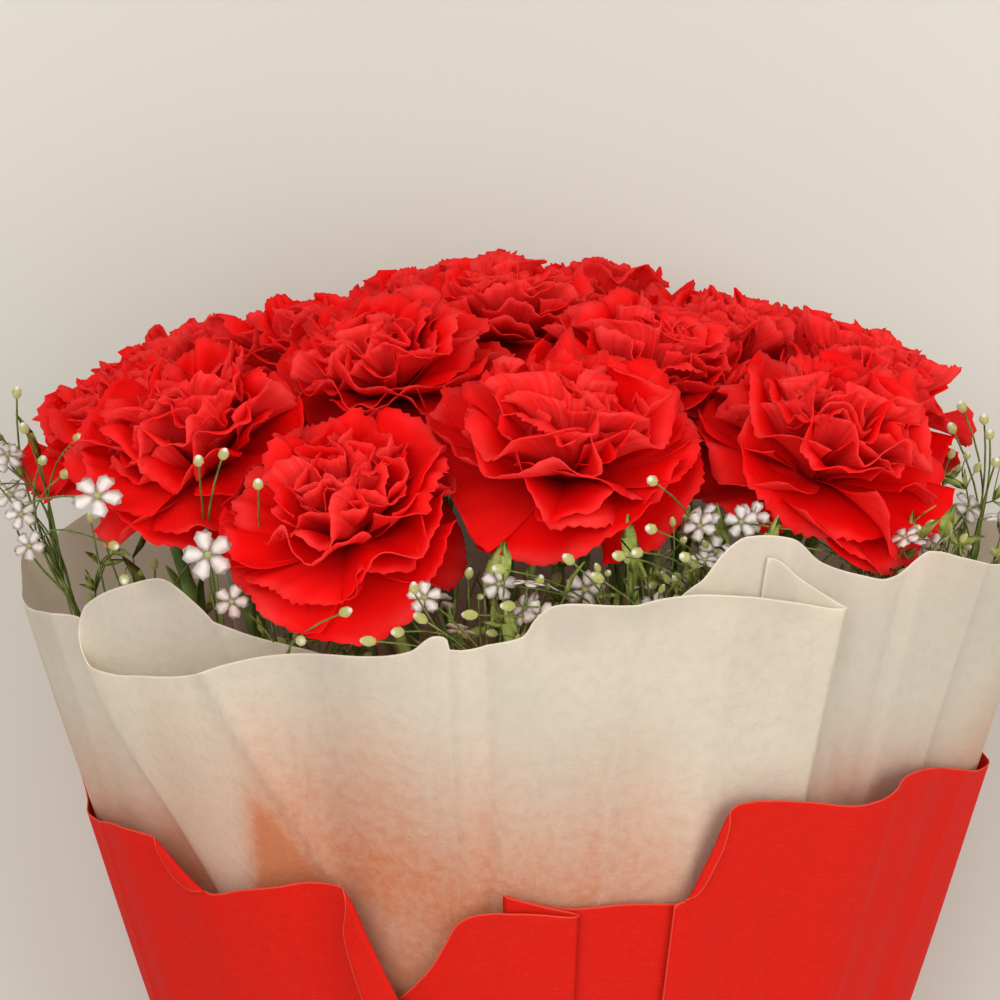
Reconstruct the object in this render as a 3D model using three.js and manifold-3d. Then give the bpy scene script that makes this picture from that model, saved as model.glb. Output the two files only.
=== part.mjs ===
// A wrapped bunch of red carnations with sprays of baby's breath, lying on its back on a table.
// Millimetres, +Z up. The bunch is drawn in its own frame first: the tie is at the origin, +z runs
// along the stems to the flowers, +x to the right and -y to the front. It is then laid down, so that
// the flowers point along +Y and the front of the wrapping looks up.
import * as THREE from "three";
import { mergeVertices } from "three/addons/utils/BufferGeometryUtils.js";
import Module from "manifold-3d";

const wasm = await Module();
wasm.setup();

const radians = THREE.MathUtils.degToRad;
const TOUCH = 0.3; // gap left between pieces that touch

// How the bunch lies.
const LIE_TILT = radians(11); // the flower end is raised by this much
const TIE_HEIGHT = 50; // of the tie's centre above the table

// Stems: a hand-tied spiral, in which every stem is one straight line.
const SPIRAL = 0.0231; // turn of the spiral, in radians per mm near the tie
const STEM_R = 2.3;
const STEM_SIDES = 6;
const CUT_END = -108; // height of the longest stems' cut ends
const CUT_STAGGER = 5; // each of three lengths is shorter by this much
const LEAF = { length: 58, half: 2.6, thick: 1, bend: 9, below: 95 }; // below: from neck to leaf

// Flower heads: a dome of heads, each a dome of petals on its calyx.
const DOME = { x: -10, top: 511, across: 600, deep: 380 }; // middle, height and the fall away from it
const NOD = 0.62; // how far a head turns from its stem to the dome's outward direction
const CALYX = { length: 26, mouth: 6.2, base: 3.4, sides: 8 };
const HEAD = { rise: 14, sides: 14, press: 0.35 }; // rise: from the calyx mouth to the head's middle
// Outline of a head: share of its half width, and height over the calyx mouth.
const HEAD_OUTLINE = [[0.62, 4], [1, 8], [0.98, 16], [0.74, 27], [0.38, 33], [0, 34]];
const RUFFLE = { in: 0.05, up: 1.4 }; // every other edge of a head stands in and up by this much

// Heads, by name: place of the middle across (x) and deep (y), half width, and lift off the dome.
const HEADS = [
  ["front_left", -105, -72, 36, 0],
  ["front", -56, -112, 36, -5],
  ["front_middle", 13, -98, 41, 1],
  ["front_right", 94, -70, 40, 0],
  ["right", 117, 7, 34, 1],
  ["right_back", 102, 64, 34, 2],
  ["back_right", 56, 104, 33, 2],
  ["back", -8, 106, 33, 0],
  ["back_left", -76, 92, 33, -3],
  ["left_back", -120, 46, 34, -5],
  ["left", -135, -14, 34, -8],
  ["inner_front_left", -46, -48, 35, -1],
  ["inner_front_right", 40, -38, 35, -3],
  ["inner_right", 66, 18, 34, -3],
  ["inner_back_right", 28, 58, 34, 2],
  ["inner_back_left", -36, 54, 34, -3],
  ["inner_left", -74, 12, 34, -9],
  ["middle", -6, 2, 34, 0],
];

// Sprays of baby's breath: the place where each one branches, the height of its buds above that
// place, and how far they spread.
const SPRAYS = [
  ["left", -156, -34, 430, 52, 14],
  ["left_front", -126, -66, 424, 36, 14],
  ["front_left", -74, -113, 410, 36, 15],
  ["between", -94, -104, 424, 54, 3],
  ["front", -12, -130, 412, 34, 18],
  ["front_middle", 34, -123, 416, 36, 14],
  ["gap", 57, -108, 424, 40, 3],
  ["right_front", 108, -78, 418, 38, 12],
  ["right", 148, -30, 428, 54, 16],
  ["back", 92, 108, 430, 40, 10],
];
const SPRAY = {
  stemR: 0.8, stemSides: 5, cut: -84, // height of the cut end
  ring: 15.9, // radius at which the sprays stand round the other stems, under the string
  twigR: 0.5, twigSides: 3, twigs: 5, budR: 2.4,
};

// Wrapping: sheets of non-woven cloth gathered at the tie, in layers from the outside to the
// string. The layers stand further apart at the rim.
const SHEET = { thick: 0.8, pitch: 1.1, spread: 1.4, layers: 5 };
const COLUMN = 8; // degrees between two columns of points of a sheet
const STRING = { inner: SPRAY.ring + SPRAY.stemR + TOUCH, thick: 1.4, half: 4, sides: 24 };
const WAIST_R = STRING.inner + STRING.thick + TOUCH + SHEET.layers * SHEET.pitch;
const WAIST_HALF = 14; // half the straight stretch under the ribbon
// Its outline, as height and half width, which goes on above the last row at a steady flare.
const OUTLINE = [[-58, 44], [-WAIST_HALF, WAIST_R], [WAIST_HALF, WAIST_R], [70, 53], [160, 92],
  [262, 129]];
const OPEN = { at: 262, flare: 0.28, deep: 0.92 }; // deep: its depth over its width, once open
const FOLD = { count: 9, depth: 6, phase: 0.6 };
// Each sheet's layer, and the height of its rim at angles from the front round to the right.
const SHEETS = {
  red_sheet_back: { layer: 0, rim: [[120, 384], [180, 396], [240, 384]] },
  red_sheet_left: {
    layer: 1,
    rim: [[-136, 384], [-104, 352], [-80, 342], [-56, 358], [-40, 346], [-24, 353], [-16, 300]],
  },
  red_sheet_front: { layer: 2, rim: [[-32, 285], [-16, 310], [-8, 342], [0, 352], [40, 354]] },
  red_sheet_right: {
    layer: 1,
    rim: [[16, 352], [24, 384], [40, 377], [56, 384], [72, 366], [104, 362], [136, 384]],
  },
  white_sheet_back: { layer: 3, rim: [[120, 436], [184, 442], [224, 436]] },
  white_sheet_left: { layer: 4, rim: [[-152, 436], [-104, 424], [-80, 422], [-56, 446], [-48, 450]] },
  white_sheet_front: {
    layer: 3,
    rim: [[-64, 418], [-48, 420], [-24, 434], [0, 446], [16, 458], [32, 449], [40, 440]],
  },
  white_sheet_right: { layer: 4, rim: [[16, 470], [24, 470], [40, 457], [56, 450], [96, 438], [136, 436]] },
};

// Ribbon: a band round the waist of the wrapping, and a bow in front of it.
const RIBBON = { thick: 0.8, half: 12, sides: 360 / COLUMN };
const BOW = {
  knotWide: 13, knotDeep: 9, loopLong: 49, loopHigh: 16, loopWall: 1, loopSides: 7,
  tailLong: 74, tailThick: 0.9, tailSplay: 0.32, tailRise: 0.52, narrower: 3,
};

const finish = {
  petals: new THREE.MeshStandardMaterial({ color: 0xd3121a, roughness: 0.62, metalness: 0 }),
  stem: new THREE.MeshStandardMaterial({ color: 0x6f8f4e, roughness: 0.6, metalness: 0 }),
  spray: new THREE.MeshStandardMaterial({ color: 0x9fae4a, roughness: 0.6, metalness: 0 }),
  white: new THREE.MeshStandardMaterial({ color: 0xe4dfd0, roughness: 0.85, metalness: 0 }),
  red: new THREE.MeshStandardMaterial({ color: 0xd6200f, roughness: 0.85, metalness: 0 }),
  ribbon: new THREE.MeshStandardMaterial({ color: 0xb40d12, roughness: 0.35, metalness: 0 }),
  string: new THREE.MeshStandardMaterial({ color: 0xb79a6a, roughness: 0.8, metalness: 0 }),
};

const AXIS = new THREE.Vector3(0, 0, 1);
const SKY = new THREE.Vector3(0, -Math.cos(LIE_TILT), Math.sin(LIE_TILT)); // up, seen from the bunch

// ---- solids ----

function solidOf(geometry) {
  const bare = geometry.index ? geometry.toNonIndexed() : geometry.clone();
  bare.deleteAttribute("normal");
  bare.deleteAttribute("uv");
  const merged = mergeVertices(bare, 1e-4);
  const mesh = new wasm.Mesh({
    numProp: 3,
    vertProperties: merged.attributes.position.array,
    triVerts: new Uint32Array(merged.index.array),
  });
  return new wasm.Manifold(mesh);
}

function geometryOf(solid) {
  const mesh = solid.getMesh();
  const geometry = new THREE.BufferGeometry();
  geometry.setAttribute("position", new THREE.BufferAttribute(mesh.vertProperties, 3));
  geometry.setIndex(new THREE.BufferAttribute(mesh.triVerts, 1));
  return geometry;
}

function joined(geometries) {
  return geometryOf(geometries.map(solidOf).reduce((all, one) => all.add(one)));
}

function facesOf(points, faces) {
  const geometry = new THREE.BufferGeometry().setFromPoints(points);
  geometry.setIndex(faces.flat());
  return geometry;
}

// A shape drawn along +z from the origin, moved to stand at a point and lean along an axis.
function standing(geometry, point, axis) {
  const turn = new THREE.Quaternion().setFromUnitVectors(AXIS, axis);
  return geometry.applyMatrix4(new THREE.Matrix4().compose(point, turn, new THREE.Vector3(1, 1, 1)));
}

function lathe(profile, sides) {
  const points = profile.map(([r, z]) => new THREE.Vector2(r, z));
  return new THREE.LatheGeometry(points, sides).rotateX(Math.PI / 2);
}

function rod(from, to, radius, sides) {
  const along = to.clone().sub(from);
  const length = along.length();
  const bar = lathe([[0, 0], [radius, 0], [radius, length], [0, length]], sides);
  return standing(bar, from, along.normalize());
}

function ring(inner, thick, half, sides) {
  const outer = inner + thick;
  return lathe([[inner, -half], [outer, -half], [outer, half], [inner, half], [inner, -half]], sides);
}

// ---- stems ----

// Where a stem of the spiral crosses the tie, if it passes through a point higher up.
function atTie(point) {
  const turn = SPIRAL * point.z;
  const share = 1 / (1 + turn * turn);
  return new THREE.Vector3(share * (point.x + turn * point.y), share * (point.y - turn * point.x), 0);
}

function alongStem(foot, height) {
  const turn = SPIRAL * height;
  return new THREE.Vector3(foot.x - turn * foot.y, foot.y + turn * foot.x, height);
}

// A narrow blade that leaves the stem at its base and bends away to one side.
function leaf(base, axis, side) {
  const across = new THREE.Vector3().crossVectors(side, axis).normalize();
  const corners = [[-1, -1], [1, -1], [1, 1], [-1, 1]];
  const stations = [0, 0.35, 0.7, 1];
  const points = [];
  for (const t of stations) {
    const half = LEAF.half * Math.sqrt(1 - 0.93 * t) * (0.75 + 0.25 * t);
    const middle = base.clone().addScaledVector(axis, LEAF.length * t).addScaledVector(side, LEAF.bend * t * t);
    for (const [u, v] of corners) {
      const corner = middle.clone().addScaledVector(across, u * half);
      points.push(corner.addScaledVector(side, (v * LEAF.thick) / 2));
    }
  }
  const faces = [[0, 3, 2], [0, 2, 1]];
  const top = 4 * (stations.length - 1);
  for (let i = 0; i < top; i += 4) {
    for (let k = 0; k < 4; k++) {
      const [a, b] = [i + k, i + ((k + 1) % 4)];
      faces.push([a, b, b + 4], [a, b + 4, a + 4]);
    }
  }
  faces.push([top, top + 1, top + 2], [top, top + 2, top + 3]);
  return facesOf(points, faces);
}

// One grown piece: the stem, its calyx and a pair of leaves.
function stem(head) {
  const end = CUT_END + (head.index % 3) * CUT_STAGGER;
  const line = rod(alongStem(head.foot, end), head.neck, STEM_R, STEM_SIDES);
  const { length, mouth, base, sides } = CALYX;
  const cup = lathe([[0, -base], [base, 0], [0.85 * mouth, 6], [mouth, length], [0, length]], sides);
  const node = alongStem(head.foot, head.neck.z - LEAF.below);
  const way = head.neck.clone().sub(node).normalize();
  const side = new THREE.Vector3(Math.cos(head.index), Math.sin(head.index), 0);
  side.addScaledVector(way, -side.dot(way)).normalize();
  const leaves = [1, -1].map((s) => leaf(node, way, side.clone().multiplyScalar(s)));
  return joined([line, standing(cup, head.neck, head.axis), ...leaves]);
}

// ---- heads ----

function headOf([name, x, y, r, lift], index) {
  const fallX = x - DOME.x;
  const height = DOME.top + lift - (fallX * fallX) / DOME.across - (y * y) / DOME.deep;
  const middle = new THREE.Vector3(x, y, height);
  const outward = new THREE.Vector3((2 * fallX) / DOME.across, (2 * y) / DOME.deep, 1).normalize();
  const alongWay = middle.clone().sub(alongStem(atTie(middle), 0)).normalize();
  const axis = alongWay.lerp(outward, NOD).normalize();
  const mouth = middle.clone().addScaledVector(axis, -HEAD.rise);
  const neck = mouth.clone().addScaledVector(axis, -CALYX.length);
  return { name, index, r, middle, axis, mouth, neck, foot: atTie(neck) };
}

// A ruffled dome that spreads from the calyx mouth.
function petalDome(head) {
  const outline = HEAD_OUTLINE.map(([share, z]) => [share * head.r, z]);
  const dome = lathe([[0, TOUCH], [CALYX.mouth, TOUCH], ...outline], HEAD.sides);
  const place = dome.attributes.position;
  for (let i = 0; i < place.count; i++) {
    const [x, y] = [place.getX(i), place.getY(i)];
    if (Math.hypot(x, y) < 1.5 * CALYX.mouth) continue;
    const wave = Math.cos((HEAD.sides / 2) * Math.atan2(x, y));
    const share = 1 - RUFFLE.in * wave;
    place.setXYZ(i, x * share, y * share, place.getZ(i) + RUFFLE.up * wave);
  }
  return standing(dome, head.mouth, head.axis);
}

// A block beyond the plane on which two heads press, which is cut away from the first.
function beyond(head, other) {
  const way = other.middle.clone().sub(head.middle);
  const plane = head.middle.clone().addScaledVector(way, head.r / (head.r + other.r));
  way.normalize();
  const size = 4 * head.r;
  const block = new THREE.BoxGeometry(size, size, size).translate(0, 0, size / 2);
  return standing(block, plane.addScaledVector(way, -HEAD.press), way);
}

function petals(head, heads) {
  const reach = 1.2 * head.r;
  const near = heads.filter((h) => h !== head && h.middle.distanceTo(head.middle) < reach + h.r);
  const dome = near.reduce((all, h) => all.subtract(solidOf(beyond(head, h))), solidOf(petalDome(head)));
  return geometryOf(dome);
}

// ---- baby's breath ----

// One grown piece: a thin stem that forks into twigs with a bud on each.
function spray([, x, y, z, rise, spread], index) {
  const fork = new THREE.Vector3(x, y, z);
  const foot = atTie(fork).setLength(SPRAY.ring);
  const lean = fork.clone().sub(foot).normalize();
  const parts = [rod(foot.clone().lerp(fork, SPRAY.cut / z), fork, SPRAY.stemR, SPRAY.stemSides)];
  for (let i = 0; i < SPRAY.twigs; i++) {
    const turn = index + (i * 2 * Math.PI) / SPRAY.twigs;
    const reach = rise * (0.7 + 0.3 * Math.cos(2.4 * i + index));
    const tip = fork.clone().addScaledVector(lean, reach);
    tip.x += spread * Math.cos(turn);
    tip.y += spread * Math.sin(turn);
    const from = fork.clone().addScaledVector(lean, -1 - i);
    parts.push(rod(from, tip, SPRAY.twigR, SPRAY.twigSides));
    parts.push(new THREE.OctahedronGeometry(SPRAY.budR).translate(tip.x, tip.y, tip.z));
  }
  return joined(parts);
}

// ---- wrapping ----

function between(rows, at) {
  const i = rows.findIndex(([from]) => from >= at);
  if (i === 0) return rows[0][1];
  const [[a, u], [b, v]] = [rows[i - 1], rows[i]];
  return u + ((v - u) * (at - a)) / (b - a);
}

function wrapRadius(h) {
  return h > OPEN.at ? between(OUTLINE, OPEN.at) + OPEN.flare * (h - OPEN.at) : between(OUTLINE, h);
}

// A point of the wrapping, in a layer counted from its outermost skin. Where the table is in the
// way, the cloth lies on it, with the layers above each other.
function wrapPoint(turn, h, layer) {
  const opened = THREE.MathUtils.clamp((Math.abs(h) - WAIST_HALF) / (OPEN.at - WAIST_HALF), 0, 1);
  const inside = layer * SHEET.pitch * (1 + SHEET.spread * opened);
  const r = wrapRadius(h) - inside + FOLD.depth * opened * Math.cos(FOLD.count * turn + FOLD.phase);
  const point = new THREE.Vector3(r * Math.sin(turn), -r * Math.cos(turn), h);
  point.y *= 1 - (1 - OPEN.deep) * opened;
  const height = point.dot(SKY) + TIE_HEIGHT;
  return point.addScaledVector(SKY, Math.max(0, inside - height));
}

// A closed cloth: its outer skin, its inner skin and the four edges between them.
function sheet({ layer, rim }) {
  const [from, to] = [rim[0][0], rim[rim.length - 1][0]];
  const columns = (to - from) / COLUMN;
  const levels = OUTLINE.length + 1;
  const points = [];
  for (const depth of [layer, layer + SHEET.thick / SHEET.pitch]) {
    for (let angle = from; angle <= to; angle += COLUMN) {
      const heights = [...OUTLINE.map(([z]) => z), between(rim, angle)];
      for (const h of heights) points.push(wrapPoint(radians(angle), h, depth));
    }
  }
  const skin = (columns + 1) * levels;
  const faces = [];
  const quad = (a, b, c, d) => faces.push([a, b, c], [a, c, d]);
  for (let i = 0; i < columns; i++) {
    const [low, next] = [i * levels, (i + 1) * levels];
    for (let j = 0; j < levels - 1; j++) {
      quad(low + j, next + j, next + j + 1, low + j + 1);
      quad(skin + low + j, skin + low + j + 1, skin + next + j + 1, skin + next + j);
    }
    const top = levels - 1;
    quad(low, skin + low, skin + next, next);
    quad(low + top, next + top, skin + next + top, skin + low + top);
  }
  for (let j = 0; j < levels - 1; j++) {
    const last = columns * levels + j;
    quad(j, j + 1, skin + j + 1, skin + j);
    quad(last, skin + last, skin + last + 1, last + 1);
  }
  return facesOf(points, faces);
}

// ---- bow ----

// A knot with two loops beside it and two tails that hang towards the stem ends.
function bow() {
  const front = -(WAIST_R + RIBBON.thick + 2 * TOUCH);
  const wide = 2 * RIBBON.half;
  const knot = new THREE.BoxGeometry(BOW.knotWide, BOW.knotDeep, wide - BOW.narrower - 1);
  const parts = [knot.translate(0, front - BOW.knotDeep / 2, 0)];
  const [long, high] = [BOW.loopLong / 2, BOW.loopHigh / 2];
  for (const side of [-1, 1]) {
    const outline = new THREE.Shape();
    const middle = side * (long - 2);
    outline.absellipse(middle, 0, long, high, 0, 2 * Math.PI);
    const hole = new THREE.Path();
    hole.absellipse(middle, 0, long - BOW.loopWall, high - BOW.loopWall, 0, 2 * Math.PI);
    outline.holes.push(hole);
    const options = { depth: wide - 2, bevelEnabled: false, curveSegments: BOW.loopSides };
    const loop = new THREE.ExtrudeGeometry(outline, options);
    parts.push(loop.translate(0, front - high - 1, 1 - RIBBON.half));
    const tail = new THREE.BoxGeometry(wide - BOW.narrower, BOW.tailThick, BOW.tailLong);
    tail.translate(0, 0, -BOW.tailLong / 2).rotateY(side * BOW.tailSplay).rotateX(-BOW.tailRise);
    parts.push(tail.translate(side * 3, front - 6, 2));
  }
  return joined(parts);
}

// ---- the bunch ----

const bunch = new THREE.Group();

function add(name, geometry, material) {
  const mesh = new THREE.Mesh(geometry, material);
  mesh.name = name;
  bunch.add(mesh);
}

const heads = HEADS.map(headOf);
for (const head of heads) {
  add(`carnation_${head.name}_petals`, petals(head, heads), finish.petals);
  add(`carnation_${head.name}_stem`, stem(head), finish.stem);
}
SPRAYS.forEach((row, index) => add(`babys_breath_${row[0]}`, spray(row, index), finish.spray));
for (const [name, cloth] of Object.entries(SHEETS)) {
  add(name, sheet(cloth), name.startsWith("red") ? finish.red : finish.white);
}
add("stem_string", ring(STRING.inner, STRING.thick, STRING.half, STRING.sides), finish.string);
add("ribbon_band", ring(WAIST_R + TOUCH, RIBBON.thick, RIBBON.half, RIBBON.sides), finish.ribbon);
add("ribbon_bow", bow(), finish.ribbon);

// Laid down, with the middle of its box over the origin.
bunch.rotation.x = LIE_TILT - Math.PI / 2;
bunch.position.z = TIE_HEIGHT;
bunch.updateMatrixWorld(true);
const box = new THREE.Box3().setFromObject(bunch, true);
bunch.position.x -= (box.min.x + box.max.x) / 2;
bunch.position.y -= (box.min.y + box.max.y) / 2;

export default bunch;
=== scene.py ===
# %% [markdown]
# # A wrapped bunch of carnations
#
# This lesson dresses a CAD model of a florist's bunch: eighteen red carnations and ten sprays of baby's
# breath, tied with string and wrapped in white and red non-woven cloth. The CAD model says where each piece
# is. Here each one gets its real shape and finish. The bunch lies on its back on a table, so the camera
# looks down on it.

# %% Load the CAD model
import math
import bmesh
import bpy
import numpy as np
from mathutils import Matrix, Vector


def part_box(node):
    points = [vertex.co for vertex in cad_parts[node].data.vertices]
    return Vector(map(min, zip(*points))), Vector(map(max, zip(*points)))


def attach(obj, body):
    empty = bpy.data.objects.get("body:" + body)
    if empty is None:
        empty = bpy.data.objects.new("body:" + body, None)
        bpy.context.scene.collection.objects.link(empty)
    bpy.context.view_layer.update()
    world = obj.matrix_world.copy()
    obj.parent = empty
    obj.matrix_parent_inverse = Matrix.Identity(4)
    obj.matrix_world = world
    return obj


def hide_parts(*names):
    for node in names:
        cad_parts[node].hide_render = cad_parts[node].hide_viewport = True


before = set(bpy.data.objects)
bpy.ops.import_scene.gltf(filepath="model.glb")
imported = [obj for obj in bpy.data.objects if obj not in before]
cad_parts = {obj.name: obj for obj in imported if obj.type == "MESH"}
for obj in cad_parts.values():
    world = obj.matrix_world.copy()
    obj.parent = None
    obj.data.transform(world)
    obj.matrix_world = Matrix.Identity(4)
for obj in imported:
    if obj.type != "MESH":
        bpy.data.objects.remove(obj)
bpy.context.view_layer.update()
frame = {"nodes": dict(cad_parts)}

MM = 0.001

# %% [markdown]
# A bunch is easiest to think about standing up: stems along z, flowers on top, front towards -y. So all
# shapes below are worked out in that frame, in millimetres from the tie, and laid down by one matrix. The
# string round the stems tells where the tie is.

# %% The bunch's own frame
LIE_TILT = math.radians(11)
TIE = sum(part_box("stem_string"), Vector()) / 2
LAY = Matrix.Translation(TIE) @ Matrix.Rotation(LIE_TILT - math.pi / 2, 4, "X") @ Matrix.Scale(MM, 4)
LAY_NP = np.array(LAY)
STAND_NP = np.array(LAY.inverted())


def laid(points):
    """Millimetres in the bunch's frame to metres on the table."""
    points = np.asarray(points, float)
    return points @ LAY_NP[:3, :3].T + LAY_NP[:3, 3]


def stood(points):
    """Metres on the table to millimetres in the bunch's frame."""
    points = np.asarray(points, float)
    return points @ STAND_NP[:3, :3].T + STAND_NP[:3, 3]


def node_points(name):
    """The corners of a CAD node, each once, in the bunch's frame."""
    mesh = frame["nodes"][name].data
    flat = np.empty(len(mesh.vertices) * 3)
    mesh.vertices.foreach_get("co", flat)
    return np.unique(stood(flat.reshape(-1, 3)).round(3), axis=0)


print("tie at", [round(v, 4) for v in TIE])

# %% [markdown]
# The photograph looks 13 degrees down on a standing bunch. The same view of the lying bunch comes from
# almost straight above. The distance and the lens follow from the size of the heads in the picture.

# %% Camera
VIEW_RISE = math.radians(13)
VIEW_DISTANCE = 1030
AIM = Vector((-8.6, 0, 448))
LENS_SHARE = 2.987  # focal length over the picture's width
PICTURE_WIDTH = 36
SIGHT = 20  # metres


def in_scene(name, data):
    """A new object in the scene, for a mesh, a camera or a light."""
    made = bpy.data.objects.new(name, data)
    bpy.context.scene.collection.objects.link(made)
    return made


def add_camera():
    data = bpy.data.cameras.new("camera")
    data.sensor_width = PICTURE_WIDTH
    data.lens = LENS_SHARE * PICTURE_WIDTH
    data.clip_end = SIGHT
    camera = in_scene("camera", data)
    back = Vector((0, -math.cos(VIEW_RISE), math.sin(VIEW_RISE)))
    up = Vector((0, math.sin(VIEW_RISE), math.cos(VIEW_RISE)))
    turn = (LAY.to_3x3().normalized() @ Matrix((up.cross(back), up, back)).transposed()).to_4x4()
    camera.matrix_world = Matrix.Translation(LAY @ (AIM + back * VIEW_DISTANCE)) @ turn
    bpy.context.scene.camera = camera
    return camera


camera = add_camera()
print("camera at", [round(v, 3) for v in camera.location])

# %% [markdown]
# Finishes are built from shader nodes. Written out link by link, they are hard to read, so a small class
# wraps one socket: two wrapped sockets can be added or multiplied like numbers, and `Tree.add` makes any
# other node. What is the same all over a surface is set on the shader's own socket.

# %% A small language for nodes
def operator(operation, swapped=False):
    """An operator of Field; the swapped form serves where a plain number comes first, as in 1 - mask."""
    def method(field, other):
        values = (other, field) if swapped else (field, other)
        return field.node("ShaderNodeMath", {"operation": operation}, *values)

    return method


class Field:
    """One output socket, with arithmetic."""

    __add__, __radd__ = operator("ADD"), operator("ADD", swapped=True)
    __sub__, __rsub__ = operator("SUBTRACT"), operator("SUBTRACT", swapped=True)
    __mul__, __rmul__ = operator("MULTIPLY"), operator("MULTIPLY", swapped=True)
    __truediv__, __rtruediv__ = operator("DIVIDE"), operator("DIVIDE", swapped=True)
    __pow__, __rpow__ = operator("POWER"), operator("POWER", swapped=True)

    def __init__(self, socket):
        self.socket = socket

    def node(self, kind, settings, *values):
        """A node in this socket's tree, with values for its first sockets."""
        return Tree(self.socket.id_data).add(kind, settings, dict(enumerate(values)))

    def math(self, operation, *others):
        return self.node("ShaderNodeMath", {"operation": operation}, self, *others)

    def ramp(self, low, high, to_low=0.0, to_high=1.0):
        """This value, mapped from one range to another with soft ends."""
        soft = {"interpolation_type": "SMOOTHSTEP"}
        return self.node("ShaderNodeMapRange", soft, self, low, high, to_low, to_high)


def plug(slot, value):
    if isinstance(value, Field):
        slot.id_data.links.new(value.socket, slot)
    else:
        slot.default_value = value


# %% Node trees
class Tree:
    """A node tree, shader or geometry."""

    def __init__(self, tree):
        self.tree = tree

    def add(self, kind, settings=None, inputs=None, out=0):
        node = self.tree.nodes.new(kind)
        for name, value in (settings or {}).items():
            setattr(node, name, value)
        for name, value in (inputs or {}).items():
            plug(node.inputs[name], value)
        return Field(node.outputs[out])

    def noise(self, place, scale, detail=3.0, rough=0.55):
        inputs = {"Vector": place, "Scale": scale, "Detail": detail, "Roughness": rough}
        return self.add("ShaderNodeTexNoise", {}, inputs)

    def stretched(self, place, scale):
        """A place to read a pattern at, scaled on each axis."""
        return self.add("ShaderNodeMapping", {}, {"Vector": place, "Scale": scale})

    def attribute(self, name):
        return self.add("ShaderNodeAttribute", {"attribute_name": name}, out="Fac")

    def uv(self, name):
        return self.add("ShaderNodeUVMap", {"uv_map": name})

    def object_place(self):
        return self.add("ShaderNodeTexCoord", out="Object")

    def mix(self, share, first, second):
        """One colour changing to another; the colours are a Mix node's sockets 6 and 7."""
        return self.add("ShaderNodeMix", {"data_type": "RGBA"}, {0: share, 6: first, 7: second}, out=2)


# %% Surfaces
def new_material(name):
    material = bpy.data.materials.new(name)
    material.use_nodes = True
    material.node_tree.nodes.clear()
    return material, Tree(material.node_tree)


def finish_surface(tree, colour, rough, height, bump, shine=0.5, glow=None, glow_share=0.0):
    """A Principled surface, with some of its light let through where glow names a colour."""
    bumped = tree.add("ShaderNodeBump", {}, {"Height": height, "Strength": bump, "Distance": MM})
    surface = tree.add("ShaderNodeBsdfPrincipled", {}, {
        "Base Color": colour, "Roughness": rough, "Specular IOR Level": shine, "Normal": bumped})
    if glow is not None:
        through = tree.add("ShaderNodeBsdfTranslucent", {}, {"Color": glow, "Normal": bumped})
        surface = tree.add("ShaderNodeMixShader", {}, {0: glow_share, 1: surface, 2: through})
    output = tree.tree.nodes.new("ShaderNodeOutputMaterial")
    plug(output.inputs["Surface"], surface)

# %% [markdown]
# A carnation petal is thin and takes light on both faces: seen against the light it glows. Its upper face
# is a strong red, made darker red towards the claw by painted shade down in the head, and its underside is
# a chalky paler red with fine veins that fan out to the toothed edge. Near the edge both faces turn a paler
# pink-red: a painted sheen, with a random tint for each petal. Both are one material: an attribute called
# `back` tells the two faces apart. The petal's own UV map carries the pattern: u runs across it and v from
# claw to edge.

# %% Petal finish
PETAL_RED = (0.87, 0.003, 0.003, 1)
# Darker red: painted shade towards the claw, down in the head, and the veins' own colour.
PETAL_SHADE_AND_VEIN = (0.62, 0.001, 0.002, 1)
PETAL_BACK = (0.88, 0.009, 0.009, 1)
# Paler red: the underside's veins, and a painted sheen near the edge of both faces.
PETAL_PALE_AND_SHEEN = (0.93, 0.10, 0.095, 1)
PETAL_GLOW = (0.96, 0.005, 0.004, 1)
PETAL_LETS_THROUGH = 0.35
PETAL_VEINS = (46, 1.4, 1)  # about this many across a petal, and along it


def petal_material():
    material, tree = new_material("petal")
    across_along = tree.uv("petal")
    along = tree.add("ShaderNodeSeparateXYZ", {}, {0: across_along}, out="Y")
    tint = tree.attribute("tint")
    back = tree.attribute("back")
    veins = tree.noise(tree.stretched(across_along, PETAL_VEINS), 1.0, 2.0)
    cloud = tree.noise(tree.object_place(), 90.0, 2.0)
    # The upper face turns darker red towards the claw: painted shade down in the head.
    upper = tree.mix(along.ramp(0.05, 0.6), PETAL_SHADE_AND_VEIN, PETAL_RED)
    under = tree.mix(veins.ramp(0.35, 0.75, 0.1, 0.6), PETAL_BACK, PETAL_PALE_AND_SHEEN)
    body = tree.mix(back * along.ramp(0.2, 0.8, 0.25, 1.0), upper, under)
    # Painted sheen: paler pink-red towards the edge, and a random tint for each petal.
    pale = along.ramp(0.80, 1.02, 0.0, 0.42) * cloud.ramp(0.3, 0.7, 0.2, 1.0) + tint * 0.08
    colour = tree.mix(pale, body, PETAL_PALE_AND_SHEEN)
    colour = tree.mix(veins.ramp(0.5, 0.8, 0.0, 0.15), colour, PETAL_SHADE_AND_VEIN)
    rough = cloud.ramp(0.2, 0.8, 0.5, 0.7)
    finish_surface(tree, colour, rough, veins, 0.16, 0.05, PETAL_GLOW, PETAL_LETS_THROUGH)
    return material


PETAL = petal_material()
print("material:", PETAL.name)

# %% [markdown]
# A flower head is nearly fifty petals in rings on one calyx. The outer guard petals are broad and smooth and
# lie flat or hang a little, and each ring further in stands steeper, is smaller and curls more. A petal is
# worked out as a grid: its midrib is a curve that leaves the calyx upright and bends outwards, its width
# opens like a fan with a few soft pleats, and its free edge has small teeth. No two petals are alike, so
# each is made by the same formula with its own random numbers, instead of being copied.

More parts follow.
